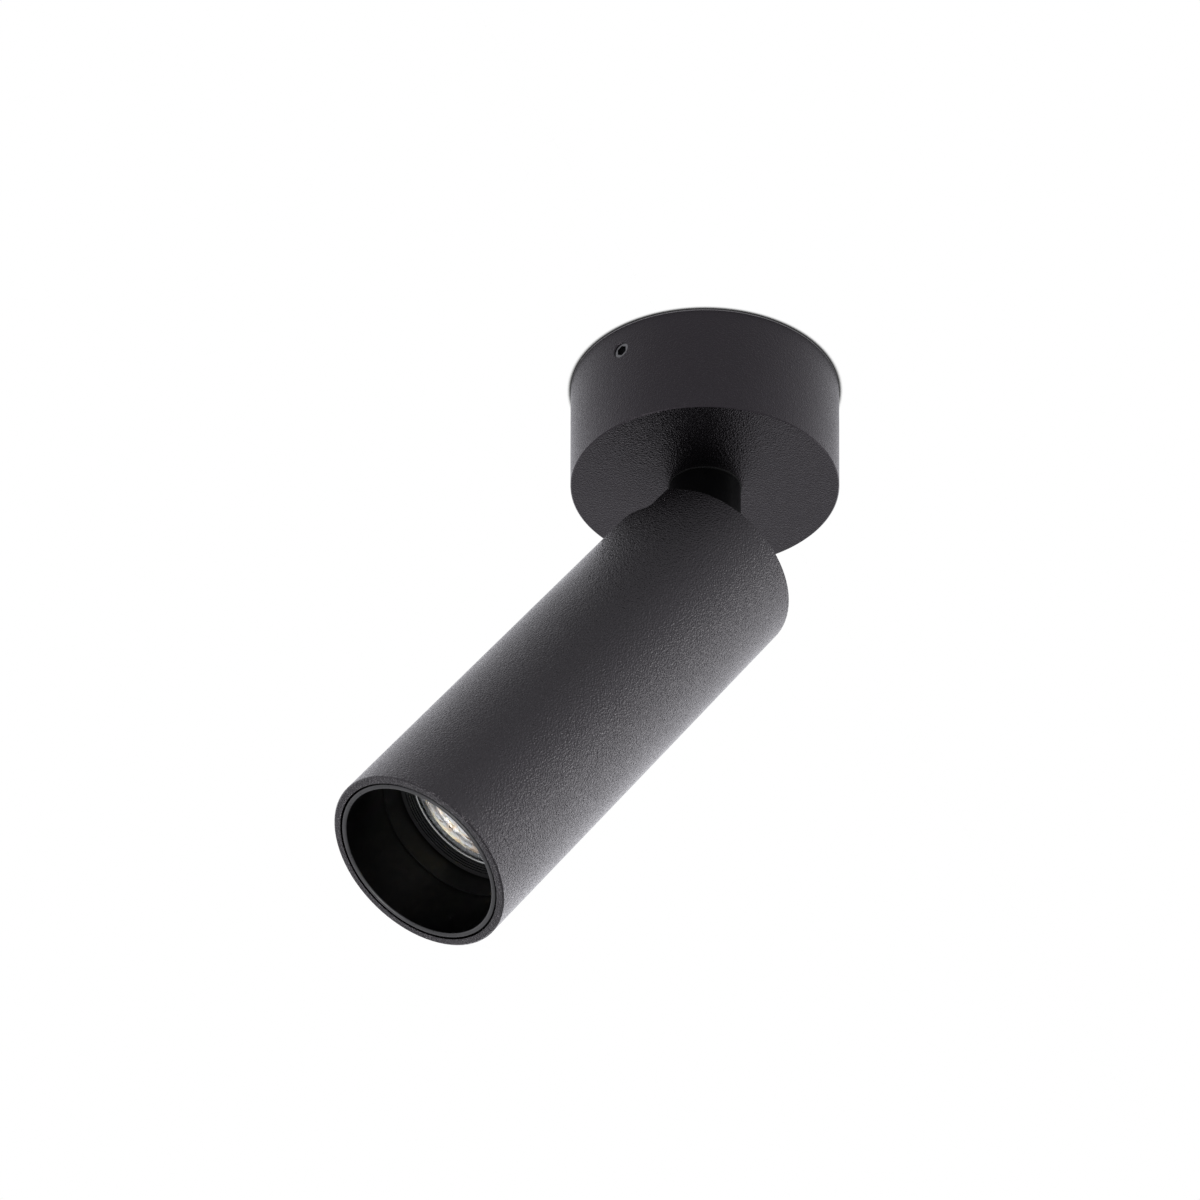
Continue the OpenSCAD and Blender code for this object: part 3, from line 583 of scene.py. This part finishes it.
@dataclass(frozen=True)
class Reflector(Finish):
    """Bright anodised reflector: clear metal, a faint orange peel, painted warm glints and dark
    streaks.

    The glints and streaks are painted reflections in its colour, of the lamp's yellow face and of
    dark surroundings that its facets mirror.
    """

    peel: float = 0.9 * MM
    peel_height: float = 0.01 * MM
    sheen_gain: float = 0.03
    sheen_loss: float = 0.05
    # painted reflections: warm glints and dark streaks painted into the colour
    painted_warm_glint: Colour = (0.9, 0.76, 0.64)
    warm_patch: float = 3.5 * MM
    warm_range: Point = (0.48, 0.64)
    dark: Colour = (0.36, 0.26, 0.2)
    dash: float = 1.6 * MM
    dash_stretch: Colour = (0.5, 1, 2.5)
    dash_range: Point = (0.66, 0.74)

    def shade(self, graph: Graph) -> Signal:
        """Build the shader.

        Args:
            graph: the material's graph.

        Returns:
            The shader.
        """
        at = graph.place(self.axes)
        peel = graph.noise(at, self.peel, 1.0)
        patches = graph.noise(at, self.warm_patch)
        dashes = graph.noise(graph.vector("MULTIPLY", at, self.dash_stretch), self.dash, 1.0)
        # painted reflections: warm patches and dark dashes in the colour stand in for what the
        # facets mirror
        tint = graph.mix(patches.ramp(*self.warm_range), self.colour, self.painted_warm_glint)
        rough = (self.roughness - self.sheen_gain, self.roughness + self.sheen_loss)
        return graph.principled({
            "Base Color": graph.mix(dashes.ramp(*self.dash_range), tint, self.dark),
            "Metallic": 1.0,
            "Roughness": peel.ramp(*MOST_OF_NOISE, *rough),
            "Normal": graph.relief(peel, self.peel_height),
        })


@dataclass(frozen=True)
class ClearGlass(Finish):
    """Clear pressed glass. Lamps shine through it, as they do through a thin pane."""

    ripple: float = 5 * MM
    ripple_height: float = 0.01 * MM
    refraction: float = 1.5
    shadow: Colour = (0.9, 0.92, 0.92)

    def shade(self, graph: Graph) -> Signal:
        """Build the shader.

        Args:
            graph: the material's graph.

        Returns:
            The shader.
        """
        ripple = graph.noise(graph.place(self.axes), self.ripple, 1.0)
        glass = graph.principled({
            "Base Color": self.colour,
            "Roughness": self.roughness,
            "Transmission Weight": 1.0,
            "IOR": self.refraction,
            "Normal": graph.relief(ripple, self.ripple_height),
        })
        return graph.node("ShaderNodeMixShader", {}, {
            0: graph.node("ShaderNodeLightPath", output="Is Shadow Ray"),
            1: glass,
            2: graph.node("ShaderNodeBsdfTransparent", {}, {"Color": self.shadow}),
        })


@dataclass(frozen=True)
class Phosphor(Finish):
    """The lamp's light-giving face, unlit: yellow silicone over rows of chips."""

    pitch: float = 1.1 * MM
    chip_range: Point = (0.1, 0.5)
    chip_shade: float = 1.25
    chip_height: float = 0.03 * MM
    cloud: float = 1.0 * MM

    def shade(self, graph: Graph) -> Signal:
        """Build the shader.

        Args:
            graph: the material's graph.

        Returns:
            The shader.
        """
        at = graph.place(self.axes)
        rows, columns = (
            (graph.along(at, axis) * (math.tau / self.pitch)).sine() for axis in ("X", "Y")
        )
        chips = (rows * columns).ramp(*self.chip_range)
        return graph.principled({
            "Base Color": graph.mix(chips, self.colour, shaded(self.colour, self.chip_shade)),
            "Roughness": graph.noise(at, self.cloud).about(self.roughness, self.stray),
            "Normal": graph.relief(chips, self.chip_height),
        })


class Finishes:
    """The finishes of this part."""

    COAT = PowderCoat(
        "black powder coat", (0.0034, 0.003, 0.0037), 0.28,
        # cast: a painted purple tint on the reflections, standing in for a slightly purple light
        grain=0.5 * MM, grain_height=0.19 * MM, cast=(1.0, 0.9, 1.0),
        # painted highlight, paler within 0.6 mm of the ceiling
        painted_highlight_depth=0.6 * MM, smooth_edge=(-35.985 * MM, -35.65 * MM),
    )
    COAT_TUBE = PowderCoat(
        "black powder coat on the tube", (0.0034, 0.003, 0.0037), 0.22, Axes.TUBE
    )
    SATIN_STEM = Satin("satin black on the stem", (0.002, 0.002, 0.0022), 0.38, shine=0.12)
    SATIN_TUBE = Satin(
        "satin black in the tube", (0.0014, 0.0014, 0.0015), 0.4, Axes.TUBE, shine=0.14
    )
    # the lip is a lit copy of the baffle's satin black: its colour is painted lighter, a painted
    # highlight on the rounded lip
    LIP_PAINTED_LIGHTER = Satin("satin black on the lip", (0.03, 0.03, 0.031), 0.3, Axes.TUBE, shine=0.6)
    RING = Moulded(
        "black ring plastic", (0.016, 0.016, 0.0165), 0.42, Axes.TUBE,
        grain_height=0.02 * MM, shine=0.4,
    )
    SPACER = Moulded("black spacer plastic", (0.003, 0.003, 0.0032), 0.45, Axes.TUBE, shine=0.18)
    SLEEVE = Moulded("black sleeve plastic", (0.012, 0.012, 0.013), 0.5, Axes.TUBE)
    WASHER = Moulded("black washer plastic", (0.006, 0.006, 0.006), 0.5)
    RUBBER = Moulded("black rubber", (0.015, 0.015, 0.015), 0.62, shine=0.35)
    RUBBER_TUBE = Moulded(
        "black rubber in the tube", (0.015, 0.015, 0.015), 0.62, Axes.TUBE, shine=0.35
    )
    SHEATH = Moulded("black lead sheath", (0.012, 0.012, 0.013), 0.45)
    HARDWARE = Metal("blackened screws", (0.2, 0.2, 0.205), 0.2, stain=(0.08, 0.08, 0.08))
    BLACK_ZINC = Metal(
        "black zinc plate", (0.06, 0.06, 0.065), 0.42, Axes.TUBE, stain=(0.03, 0.03, 0.032)
    )
    ZINC = Metal(
        "zinc plate", (0.6, 0.59, 0.56), 0.34, brush=(1.0, 0.03, 1.0), brush_height=0.012 * MM,
        stain=(0.42, 0.4, 0.33), stain_share=0.5,
    )
    STEEL = Metal("bright steel", (0.56, 0.57, 0.58), 0.27, stain=(0.4, 0.4, 0.39))
    BRASS = Metal("brass", (0.72, 0.56, 0.27), 0.3, stain=(0.5, 0.36, 0.16))
    ALUMINIUM = Metal("extruded aluminium", (0.72, 0.73, 0.75), 0.36, Axes.TUBE)
    WHITE = Moulded("white plastic", (0.74, 0.73, 0.69), 0.45)
    WHITE_TUBE = Moulded("white lamp holder plastic", (0.78, 0.78, 0.76), 0.4, Axes.TUBE)
    NYLON = Moulded("natural nylon", (0.68, 0.66, 0.58), 0.35)
    BOARD = CircuitBoard("green circuit board", (0.015, 0.09, 0.035), 0.35)
    CERAMIC = Moulded("white ceramic board", (0.8, 0.8, 0.78), 0.3, Axes.TUBE)
    WINDING = Wound("taped winding", (0.62, 0.42, 0.05), 0.4)
    SLEEVED = Wound("capacitor sleeve", (0.02, 0.025, 0.06), 0.3, band=9 * MM)
    BROWN_WIRE = Moulded("brown wire", (0.16, 0.06, 0.025), 0.38)
    RED_WIRE = Moulded("red wire", (0.42, 0.025, 0.02), 0.38)
    REFLECTOR = Reflector("bright reflector", (0.9, 0.9, 0.92), 0.3, Axes.TUBE)
    FLANGE = Moulded("matt reflector flange", (0.2, 0.2, 0.21), 0.5, Axes.TUBE)
    GLASS = ClearGlass("clear glass", (0.97, 0.98, 0.98), 0.02, Axes.TUBE)
    GROUND = Moulded("ground glass edge", (0.86, 0.87, 0.88), 0.4, Axes.TUBE)
    PHOSPHOR = Phosphor("phosphor", (0.24, 0.13, 0.03), 0.35, Axes.TUBE)


# Pieces


def turned_mesh(
    name: str, points: Sequence[Point], sides: int = 192, crease: float = 32.0
) -> bpy.types.Mesh:
    """Turn a closed outline about the tube's axis.

    Args:
        name: the mesh's name.
        points: radius and distance from the tube's rear end of each corner, in metres.
        sides: how many facets go round.
        crease: the angle in degrees above which an edge stays sharp.

    Returns:
        The mesh, in the part's frame.
    """
    mesh = bmesh.new()
    join_closed(mesh, [ring(mesh, radius, depth, sides) for radius, depth in points])
    return finished_mesh(name, mesh, crease)


def ring(mesh: bmesh.types.BMesh, radius: float, depth: float, sides: int) -> Ring:
    """Add a ring of corners round the tube's axis.

    Args:
        mesh: the mesh to add to.
        radius: the ring's radius. A ring of radius 0 is one corner.
        depth: its distance from the tube's rear end.
        sides: how many corners it has.

    Returns:
        The corners.
    """
    height = TUBE.height(depth)
    if radius == 0:
        return [mesh.verts.new((0, 0, height))]
    turns = [math.tau * i / sides for i in range(sides)]
    return [mesh.verts.new((radius * math.cos(a), radius * math.sin(a), height)) for a in turns]


def join_closed(mesh: bmesh.types.BMesh, rings: Sequence[Ring]) -> None:
    """Join each ring with the next one, and the last with the first."""
    for low, high in zip(rings, [*rings[1:], rings[0]]):
        join_rings(mesh, low, high)


def join_rings(mesh: bmesh.types.BMesh, low: Ring, high: Ring) -> None:
    """Join two rings of corners with faces. A ring of one corner closes to a point.

    Args:
        mesh: the mesh that gets the faces.
        low: the corners of one ring.
        high: the corners of the other, in the same order.
    """
    count = max(len(low), len(high))
    if count == 1:
        return
    for i in range(count):
        ahead = i + 1
        corners = [low[i % len(low)], low[ahead % len(low)]]
        corners += [high[ahead % len(high)], high[i % len(high)]]
        mesh.faces.new(list(dict.fromkeys(corners)))


def finished_mesh(name: str, mesh: bmesh.types.BMesh, crease: float) -> bpy.types.Mesh:
    """Shade a mesh smooth between its creases and put it in the part's frame.

    Args:
        name: the mesh's name.
        mesh: the mesh, on the tube's own axes.
        crease: the angle in degrees above which an edge stays sharp.

    Returns:
        The finished mesh.
    """
    bmesh.ops.recalc_face_normals(mesh, faces=mesh.faces)
    for face in mesh.faces:
        face.smooth = True
    for edge in mesh.edges:
        edge.smooth = edge.calc_face_angle(0.0) < math.radians(crease)
    made = bpy.data.meshes.new(name)
    mesh.to_mesh(made)
    mesh.free()
    made.transform(TUBE.matrix())
    made.update()
    return made


def rounded(points: Sequence[tuple[float, float, float]], steps: int = 5) -> list[Point]:
    """Round the corners of an outline.

    Args:
        points: radius, depth and rounding of each corner. A rounding of 0 keeps the corner.
        steps: how many stretches make one rounding.

    Returns:
        The outline's points.
    """
    outline: list[Point] = []
    for i, (x, y, rounding) in enumerate(points):
        here = Vector((x, y))
        if rounding == 0:
            outline.append((x, y))
            continue
        before = (Vector(points[i - 1][:2]) - here).normalized()
        after = (Vector(points[(i + 1) % len(points)][:2]) - here).normalized()
        half = before.angle(after) / 2
        reach = rounding / math.tan(half)
        centre = here + (before + after).normalized() * (rounding / math.sin(half))
        start, end = here + before * reach - centre, here + after * reach - centre
        outline += [
            tuple(centre + start.slerp(end, step / steps).normalized() * rounding)
            for step in range(steps + 1)
        ]
    return outline


@dataclass
class Assembly:
    """A part of the light that rides on one body.

    It dresses its nodes, and builds the pieces that replace some.
    """

    body: ClassVar[Body]
    coats: ClassVar[dict[str, Finish]] = {}

    def build(self) -> Iterable[bpy.types.Object]:
        """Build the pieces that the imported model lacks. Most assemblies have none."""
        return ()

    def dress(self) -> None:
        """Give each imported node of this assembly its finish."""
        for node, finish in self.coats.items():
            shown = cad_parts[node]
            shown.data.materials.clear()
            shown.data.materials.append(finish.material())
            log.info("%s: %s, on %s", node, finish.name, self.body.value)

    def piece(
        self, name: str, mesh: bpy.types.Mesh, finishes: Sequence[Finish], slot: str, *nodes: str
    ) -> bpy.types.Object:
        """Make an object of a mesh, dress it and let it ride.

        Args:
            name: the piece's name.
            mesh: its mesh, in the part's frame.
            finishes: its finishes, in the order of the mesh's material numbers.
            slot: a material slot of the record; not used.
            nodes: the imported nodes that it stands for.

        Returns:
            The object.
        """
        made = bpy.data.objects.new(name, mesh)
        bpy.context.scene.collection.objects.link(made)
        for finish in finishes:
            mesh.materials.append(finish.material())
        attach(made, self.body.value)
        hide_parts(*nodes)
        return made


@dataclass
class Canopy(Assembly):
    """The canopy with its ceiling plate, wiring and driver."""

    body: ClassVar[Body] = Body.CANOPY
    coats: ClassVar[dict[str, Finish]] = {
        "canopy": Finishes.COAT,
        "mounting_bracket": Finishes.ZINC,
        "canopy_grub_screws": Finishes.HARDWARE,
        "bracket_screws": Finishes.STEEL,
        "cable_grommet": Finishes.RUBBER,
        "terminal_block": Finishes.WHITE,
        "terminal_screws": Finishes.BRASS,
        "earth_tag": Finishes.BRASS,
        "earth_screw": Finishes.STEEL,
        "driver_case": Finishes.WHITE,
        "driver_lid": Finishes.WHITE,
        "driver_board": Finishes.BOARD,
        "driver_transformer": Finishes.WINDING,
        "driver_capacitors": Finishes.SLEEVED,
        "supply_wires": Finishes.BROWN_WIRE,
        "driver_lead": Finishes.SHEATH,
        "stop_pin": Finishes.STEEL,
        "swivel_washer": Finishes.WASHER,
    }


@dataclass
class Stem(Assembly):
    """The stem with its washers, nut, bush and tilt screws."""

    body: ClassVar[Body] = Body.STEM
    coats: ClassVar[dict[str, Finish]] = {
        "stem": Finishes.SATIN_STEM,
        "spring_washer": Finishes.STEEL,
        "stop_washer": Finishes.ZINC,
        "lock_nut": Finishes.ZINC,
        "lead_bush": Finishes.NYLON,
        "stem_lead": Finishes.SHEATH,
        "pivot_screws": Finishes.HARDWARE,
        "pivot_washers": Finishes.STEEL,
    }


@dataclass
class Head(Assembly):
    """The tube with its yoke, heat sink and lamp, as packed."""

    body: ClassVar[Body] = Body.HEAD
    coats: ClassVar[dict[str, Finish]] = {
        "head_tube": Finishes.COAT_TUBE,
        "yoke": Finishes.BLACK_ZINC,
        "yoke_screws": Finishes.HARDWARE,
        "head_grommet": Finishes.RUBBER_TUBE,
        "head_lead": Finishes.SHEATH,
        "heat_sink": Finishes.ALUMINIUM,
        "led_wires": Finishes.RED_WIRE,
        "led_board": Finishes.CERAMIC,
        "led_holder": Finishes.WHITE_TUBE,
        "led_holder_screws": Finishes.STEEL,
        "optic_sleeve": Finishes.SLEEVE,
        "lens_ring": Finishes.RING,
        "baffle_spacer": Finishes.SPACER,
        "baffle_o_ring": Finishes.RUBBER_TUBE,
    }


@dataclass
class FrontOptics(Assembly):
    """What shows in the tube's mouth: the baffle, the lens, the reflector and the lamp's face.

    Depths are measured from the tube's rear end.
    """

    body: ClassVar[Body] = Body.HEAD
    mouth: float = 152.5 * MM
    baffle_outer: float = 25.3 * MM
    baffle_inner: float = 23.9 * MM
    baffle_start: float = 134.1 * MM
    lip_round: float = 0.45 * MM
    seal_depth: float = 12.0 * MM
    seal_groove: float = 0.52 * MM
    seal_groove_floor: float = 24.76 * MM
    lens_radius: float = 20.3 * MM
    lens_front: float = 124.9 * MM
    lens_back: float = 122.4 * MM
    lens_flange: float = 21.5 * MM
    lens_flange_thickness: float = 1.0 * MM
    lens_land: float = 0.5 * MM
    lens_land_drop: float = 0.12 * MM
    lens_crease: float = 10.0
    throat_radius: float = 7.5 * MM
    bowl_radius: float = 18.4 * MM
    bowl_start: float = 105.0 * MM
    bowl_depth: float = 16.6 * MM
    bowl_wall: float = 0.8 * MM
    bowl_back_shares: tuple[float, ...] = (1, 0.8, 0.6, 0.4, 0.2, 0)
    flange_radius: float = 25.65 * MM
    columns: int = 28
    rows: int = 8
    facet_steps: int = 4
    bulge: float = 0.12 * MM
    late_rise: float = 2.4
    reflector_crease: float = 40.0
    face_start: float = 102.48 * MM
    face_radius: float = 6.2 * MM
    face_thickness: float = 0.5 * MM
    face_sides: int = 96
    dam_width: float = 0.7 * MM
    dam_chamfer: float = 0.1 * MM
    phosphor_drop: float = 0.2 * MM
    phosphor_middle_drop: float = 0.15 * MM
    slack: float = 0.01 * MM

    def build(self) -> Iterable[bpy.types.Object]:
        """Build the baffle, the lens, the reflector and the lamp's face.

        Returns:
            The pieces, one after another.
        """
        yield self.piece(
            # the lip's finish is the baffle's black painted lighter, a painted highlight
            "front_baffle_lipped", self._baffle(), [Finishes.SATIN_TUBE, Finishes.LIP_PAINTED_LIGHTER],
            "black_satin", "front_baffle",
        )
        yield self.piece(
            "lens_bevelled", self._lens(), [Finishes.GLASS, Finishes.GROUND], "clear_lens", "lens"
        )
        yield self.piece(
            "reflector_faceted", self._reflector(), [Finishes.REFLECTOR, Finishes.FLANGE],
            "reflector_aluminium", "reflector",
        )
        yield self.piece(
            "lamp_face", self._lamp_face(), [Finishes.PHOSPHOR, Finishes.CERAMIC],
            "phosphor", "led_emitter",
        )

    def _baffle(self) -> bpy.types.Mesh:
        """Make the baffle with its rounded lip and the groove of its ring seal.

        Returns:
            The mesh. Its lip takes the second finish.
        """
        groove = self.mouth - self.seal_depth
        mesh = turned_mesh("front_baffle_lipped", rounded([
            (self.baffle_inner, self.baffle_start, 0),
            (self.baffle_outer, self.baffle_start, 0),
            (self.baffle_outer, groove - self.seal_groove, 0),
            (self.seal_groove_floor, groove - self.seal_groove, 0),
            (self.seal_groove_floor, groove + self.seal_groove, 0),
            (self.baffle_outer, groove + self.seal_groove, 0),
            (self.baffle_outer, self.mouth, self.lip_round),
            (self.baffle_inner, self.mouth, self.lip_round),
        ]))
        self._second_finish(mesh, self.baffle_inner, self.mouth - self.lip_round)
        return mesh

    def _lens(self) -> bpy.types.Mesh:
        """Make the lens with its flange.

        Returns:
            The mesh. The ground land at its edge takes the second finish.
        """
        flange_front = self.lens_back + self.lens_flange_thickness
        land_inner = self.lens_radius - self.lens_land
        mesh = turned_mesh("lens_bevelled", [
            (0, self.lens_back),
            (self.lens_flange, self.lens_back),
            (self.lens_flange, flange_front),
            (self.lens_radius, flange_front),
            (self.lens_radius, self.lens_front - self.lens_land_drop),
            (land_inner, self.lens_front),
            (0, self.lens_front),
        ], crease=self.lens_crease)
        self._second_finish(mesh, land_inner, flange_front)
        return mesh

    def _second_finish(self, mesh: bpy.types.Mesh, radius: float, depth: float) -> None:
        """Give the second finish to the faces that lie outside a radius and in front of a depth.

        Args:
            mesh: a turned mesh, in the part's frame.
            radius: the least radius of such a face's corners.
            depth: the least distance of such a face's corners from the tube's rear end.
        """
        back = TUBE.matrix().inverted()
        places = [back @ vertex.co for vertex in mesh.vertices]
        for face in mesh.polygons:
            corners = [places[i] for i in face.vertices]
            innermost = min(math.hypot(corner.x, corner.y) for corner in corners)
            rearmost = max(corner.z for corner in corners)
            outside = innermost > radius - self.slack
            in_front = rearmost < TUBE.height(depth) + self.slack
            face.material_index = int(outside and in_front)

    def _bowl(self, share: float) -> float:
        """Give the bowl's radius at a share of its depth."""
        low, high = self.throat_radius**2, self.bowl_radius**2
        return math.sqrt(low + (high - low) * share)

    def _facet_ring(self, mesh: bmesh.types.BMesh, step: int) -> Ring:
        """Add one ring of the reflector's faceted inside.

        Args:
            mesh: the mesh to add to.
            step: the ring's number, from the throat.

        Returns:
            The corners.
        """
        fine = self.facet_steps
        row, part = divmod(step, fine)
        height = TUBE.height(self.bowl_start + self.bowl_depth * step / (self.rows * fine))
        facet = self._bowl((row + (part / fine) ** self.late_rise) / self.rows)
        row_wave = math.sin(math.pi * part / fine)
        corners = []
        for side in range(self.columns * fine):
            wave = math.sin(math.pi * (side % fine) / fine) * row_wave
            radius = facet - self.bulge * wave
            angle = math.tau * side / (self.columns * fine)
            place = (radius * math.cos(angle), radius * math.sin(angle), height)
            corners.append(mesh.verts.new(place))
        return corners

    def _reflector(self) -> bpy.types.Mesh:
        """Make the reflector: facets that turn to the mouth inside, a smooth back, a flat flange.

        Returns:
            The mesh. The flange takes the second finish.
        """
        mesh = bmesh.new()
        sides = self.columns * self.facet_steps
        rings = [self._facet_ring(mesh, step) for step in range(self.rows * self.facet_steps + 1)]
        flange_back = self.bowl_start + self.bowl_depth
        outline = [
            (self.bowl_radius, self.lens_back),
            (self.flange_radius, self.lens_back),
            (self.flange_radius, flange_back),
        ]
        outline += [
            (self._bowl(share) + self.bowl_wall, self.bowl_start + self.bowl_depth * share)
            for share in self.bowl_back_shares
        ]
        rings += [ring(mesh, radius, depth, sides) for radius, depth in outline]
        join_closed(mesh, rings)
        made = finished_mesh("reflector_faceted", mesh, self.reflector_crease)
        self._second_finish(made, self.bowl_radius, self.lens_back)
        return made

    def _lamp_face(self) -> bpy.types.Mesh:
        """Make the lamp's face with the low dam round it.

        Returns:
            The mesh.
        """
        low, high = self.face_start, self.face_start + self.face_thickness
        dam_inner = self.face_radius - self.dam_width
        return turned_mesh("lamp_face", [
            (0, low),
            (self.face_radius, low),
            (self.face_radius, high - self.dam_chamfer),
            (self.face_radius - self.dam_chamfer, high),
            (dam_inner, high),
            (dam_inner - self.dam_chamfer, high - self.phosphor_drop),
            (0, high - self.phosphor_middle_drop),
        ], sides=self.face_sides)


# Studio


@dataclass
class Lamp:
    """A soft rectangular lamp that looks at the part."""

    name: str
    azimuth: float
    elevation: float
    distance: float
    width: float
    height: float
    radiance: float
    colour: Colour = (1, 1, 1)

    def build(self, target: Vector) -> bpy.types.Object:
        """Make the lamp.

        Args:
            target: the point that it looks at.

        Returns:
            The lamp's object.
        """
        turn, rise = math.radians(self.azimuth), math.radians(self.elevation)
        flat = math.cos(rise)
        away = Vector((math.sin(turn) * flat, -math.cos(turn) * flat, math.sin(rise)))
        data = bpy.data.lights.new(self.name, "AREA")
        data.shape = "RECTANGLE"
        data.size, data.size_y = self.width, self.height
        data.energy = self.radiance * math.pi * self.width * self.height
        data.color = self.colour
        made = bpy.data.objects.new(self.name, data)
        made.location = target + away * self.distance
        made.rotation_euler = away.to_track_quat("Z", "Y").to_euler()
        bpy.context.scene.collection.objects.link(made)
        return made


@dataclass
class Studio:
    """The white ceiling, the white surroundings and the lamps.

    Gloss shows a ceiling that is brighter on the right and at the back than in front, and
    surroundings that are darker below. Each reach is the range of places or directions over which
    a gain or a loss comes in or fades out.
    """

    ceiling_side: float = 6.0
    ceiling_lift: float = 0.02 * MM
    paint: Colour = (0.8, 0.8, 0.8)
    surroundings: float = 1.0
    fill: float = 0.35
    contact: float = 1.4 * MM
    contact_samples: int = 16
    contact_range: Point = (0.55, 1.0)
    contact_darkest: float = 0.03
    footprint: float = 40.15 * MM
    cool: Colour = (0.955, 0.95, 1.0)
    white: Colour = (1, 1, 1)
    right_gain: float = 2.6
    right_reach: Point = (0.03, 0.8)
    back_gain: float = 1.22
    back_reach: Point = (-0.02, 0.1)
    front_loss: float = 0.6
    front_reach: Point = (0.04, 0.2)
    front_centre: Colour = (-0.05, -0.1, 0)
    floor_loss: float = 0.68
    floor_reach: Point = (-0.55, -0.1)
    target: Vector = field(default_factory=lambda: Vector((-0.035, 0, -0.1)))
    lamps: tuple[Lamp, ...] = (
        Lamp("right_softbox", 70, -6, 0.9, 0.24, 0.24, 9.5, (0.97, 1.0, 0.96)),
        Lamp("mouth_lamp", -90, -55, 0.6, 0.12, 0.12, 23.0),
    )

    def build(self) -> None:
        """Build the ceiling, the world and the lamps."""
        self._ceiling()
        self._world()
        for lamp in self.lamps:
            lamp.build(self.target)
            log.info("lamp %s", lamp.name)

    def _seen(self, graph: Graph) -> Signal:
        """Tell what the camera, gloss and glass show from what only lights the part.

        Args:
            graph: the graph to add to.

        Returns:
            1 for what is seen, else 0.
        """
        rays = [
            graph.node("ShaderNodeLightPath", output=name)
            for name in ("Is Camera Ray", "Is Glossy Ray", "Is Transmission Ray")
        ]
        return rays[0].either(rays[1]).either(rays[2])

    def _world(self) -> None:
        """Make the surroundings white to the eye and in gloss, and a plain fill for the rest."""
        world = bpy.data.worlds.new("surroundings")
        world.use_nodes = True
        bpy.context.scene.world = world
        graph = Graph(world.node_tree)
        camera = graph.node("ShaderNodeLightPath", output="Is Camera Ray")
        way = graph.node("ShaderNodeTexCoord", output="Generated")
        below = graph.along(way, "Z").ramp(*self.floor_reach, self.floor_loss, 1.0)
        strength = self._seen(graph) * (self.surroundings - self.fill) + self.fill
        strength = strength * (camera + (1 - camera) * below)
        inputs = {"Color": graph.mix(camera, self.cool, self.white), "Strength": strength}
        graph.show(graph.node("ShaderNodeBackground", {}, inputs), world=True)

    def _ceiling(self) -> None:
        """Make the ceiling: white, dark only where the part touches it, and clear from above."""
        mesh = bmesh.new()
        half = self.ceiling_side / 2
        corners = ((-half, -half), (-half, half), (half, half), (half, -half))
        mesh.faces.new([mesh.verts.new((x, y, self.ceiling_lift)) for x, y in corners])
        made = bpy.data.meshes.new("ceiling")
        mesh.to_mesh(made)
        mesh.free()
        ceiling = bpy.data.objects.new("ceiling", made)
        bpy.context.scene.collection.objects.link(ceiling)
        material = bpy.data.materials.new("white ceiling")
        material.use_nodes = True
        made.materials.append(material)
        graph = Graph(material.node_tree)
        at = graph.place()
        geometry = graph.node("ShaderNodeNewGeometry", output="Backfacing")
        graph.show(graph.node("ShaderNodeMixShader", {}, {
            0: geometry.either(graph.radius(at) < self.footprint),
            1: graph.node("ShaderNodeMixShader", {}, {
                0: self._seen(graph),
                1: graph.node("ShaderNodeBsdfDiffuse", {}, {"Color": self.paint}),
                2: self._white(graph, at),
            }),
            2: graph.node("ShaderNodeBsdfTransparent"),
        }))

    def _white(self, graph: Graph, at: Signal) -> Signal:
        """Build the white that the eye, gloss and glass see on the ceiling.

        Args:
            graph: the ceiling's graph.
            at: the place on the ceiling.

        Returns:
            The shader.
        """
        camera = graph.node("ShaderNodeLightPath", output="Is Camera Ray")
        near = graph.node(
            "ShaderNodeAmbientOcclusion", {"samples": self.contact_samples},
            {"Distance": self.contact}, "AO",
        )
        from_front = graph.radius(graph.vector("SUBTRACT", at, self.front_centre))
        gain = graph.along(at, "X").ramp(*self.right_reach, 1.0, self.right_gain) * (
            graph.along(at, "Y").ramp(*self.back_reach, 1.0, self.back_gain)
            * from_front.ramp(*self.front_reach, self.front_loss, 1.0)
        )
        shadow = near.ramp(*self.contact_range, self.contact_darkest, 1.0)
        strength = shadow * (camera + (1 - camera) * gain)
        tint = graph.mix(camera, self.cool, self.white)
        light = graph.node("ShaderNodeVectorMath", {"operation": "SCALE"}, {0: tint, 3: strength})
        return graph.node("ShaderNodeEmission", {}, {"Color": light})


@dataclass
class PhotoCamera:
    """The camera at the photograph's angle."""

    location: Vector = field(default_factory=lambda: Vector((-0.494682, -1.065701, -0.910228)))
    aim: Vector = field(default_factory=lambda: Vector((-0.020199, 0.030594, -0.063052)))
    roll: float = math.radians(0.853)
    lens: float = 147.6
    sensor_width: float = 36.0
    nearest: float = 0.05
    farthest: float = 50.0

    def build(self) -> None:
        """Make the camera and use it."""
        data = bpy.data.cameras.new("photo_camera")
        data.sensor_width = self.sensor_width
        data.lens = self.lens
        data.clip_start, data.clip_end = self.nearest, self.farthest
        made = bpy.data.objects.new("photo_camera", data)
        turn = (self.aim - self.location).to_track_quat("-Z", "Y").to_matrix().to_4x4()
        roll = Matrix.Rotation(self.roll, 4, "Z")
        made.matrix_world = Matrix.Translation(self.location) @ turn @ roll
        bpy.context.scene.collection.objects.link(made)
        bpy.context.scene.camera = made


def main() -> None:
    """Build the camera and the studio, then dress and build each assembly."""
    logging.basicConfig(level=logging.INFO, format="%(message)s")
    bpy.context.scene.view_settings.view_transform = "Standard"
    PhotoCamera().build()
    Studio().build()
    for assembly in (Canopy(), Stem(), Head(), FrontOptics()):
        assembly.dress()
        for made in assembly.build():
            log.info("built %s, on %s", made.name, assembly.body.value)


if __name__ == "__main__":
    main()
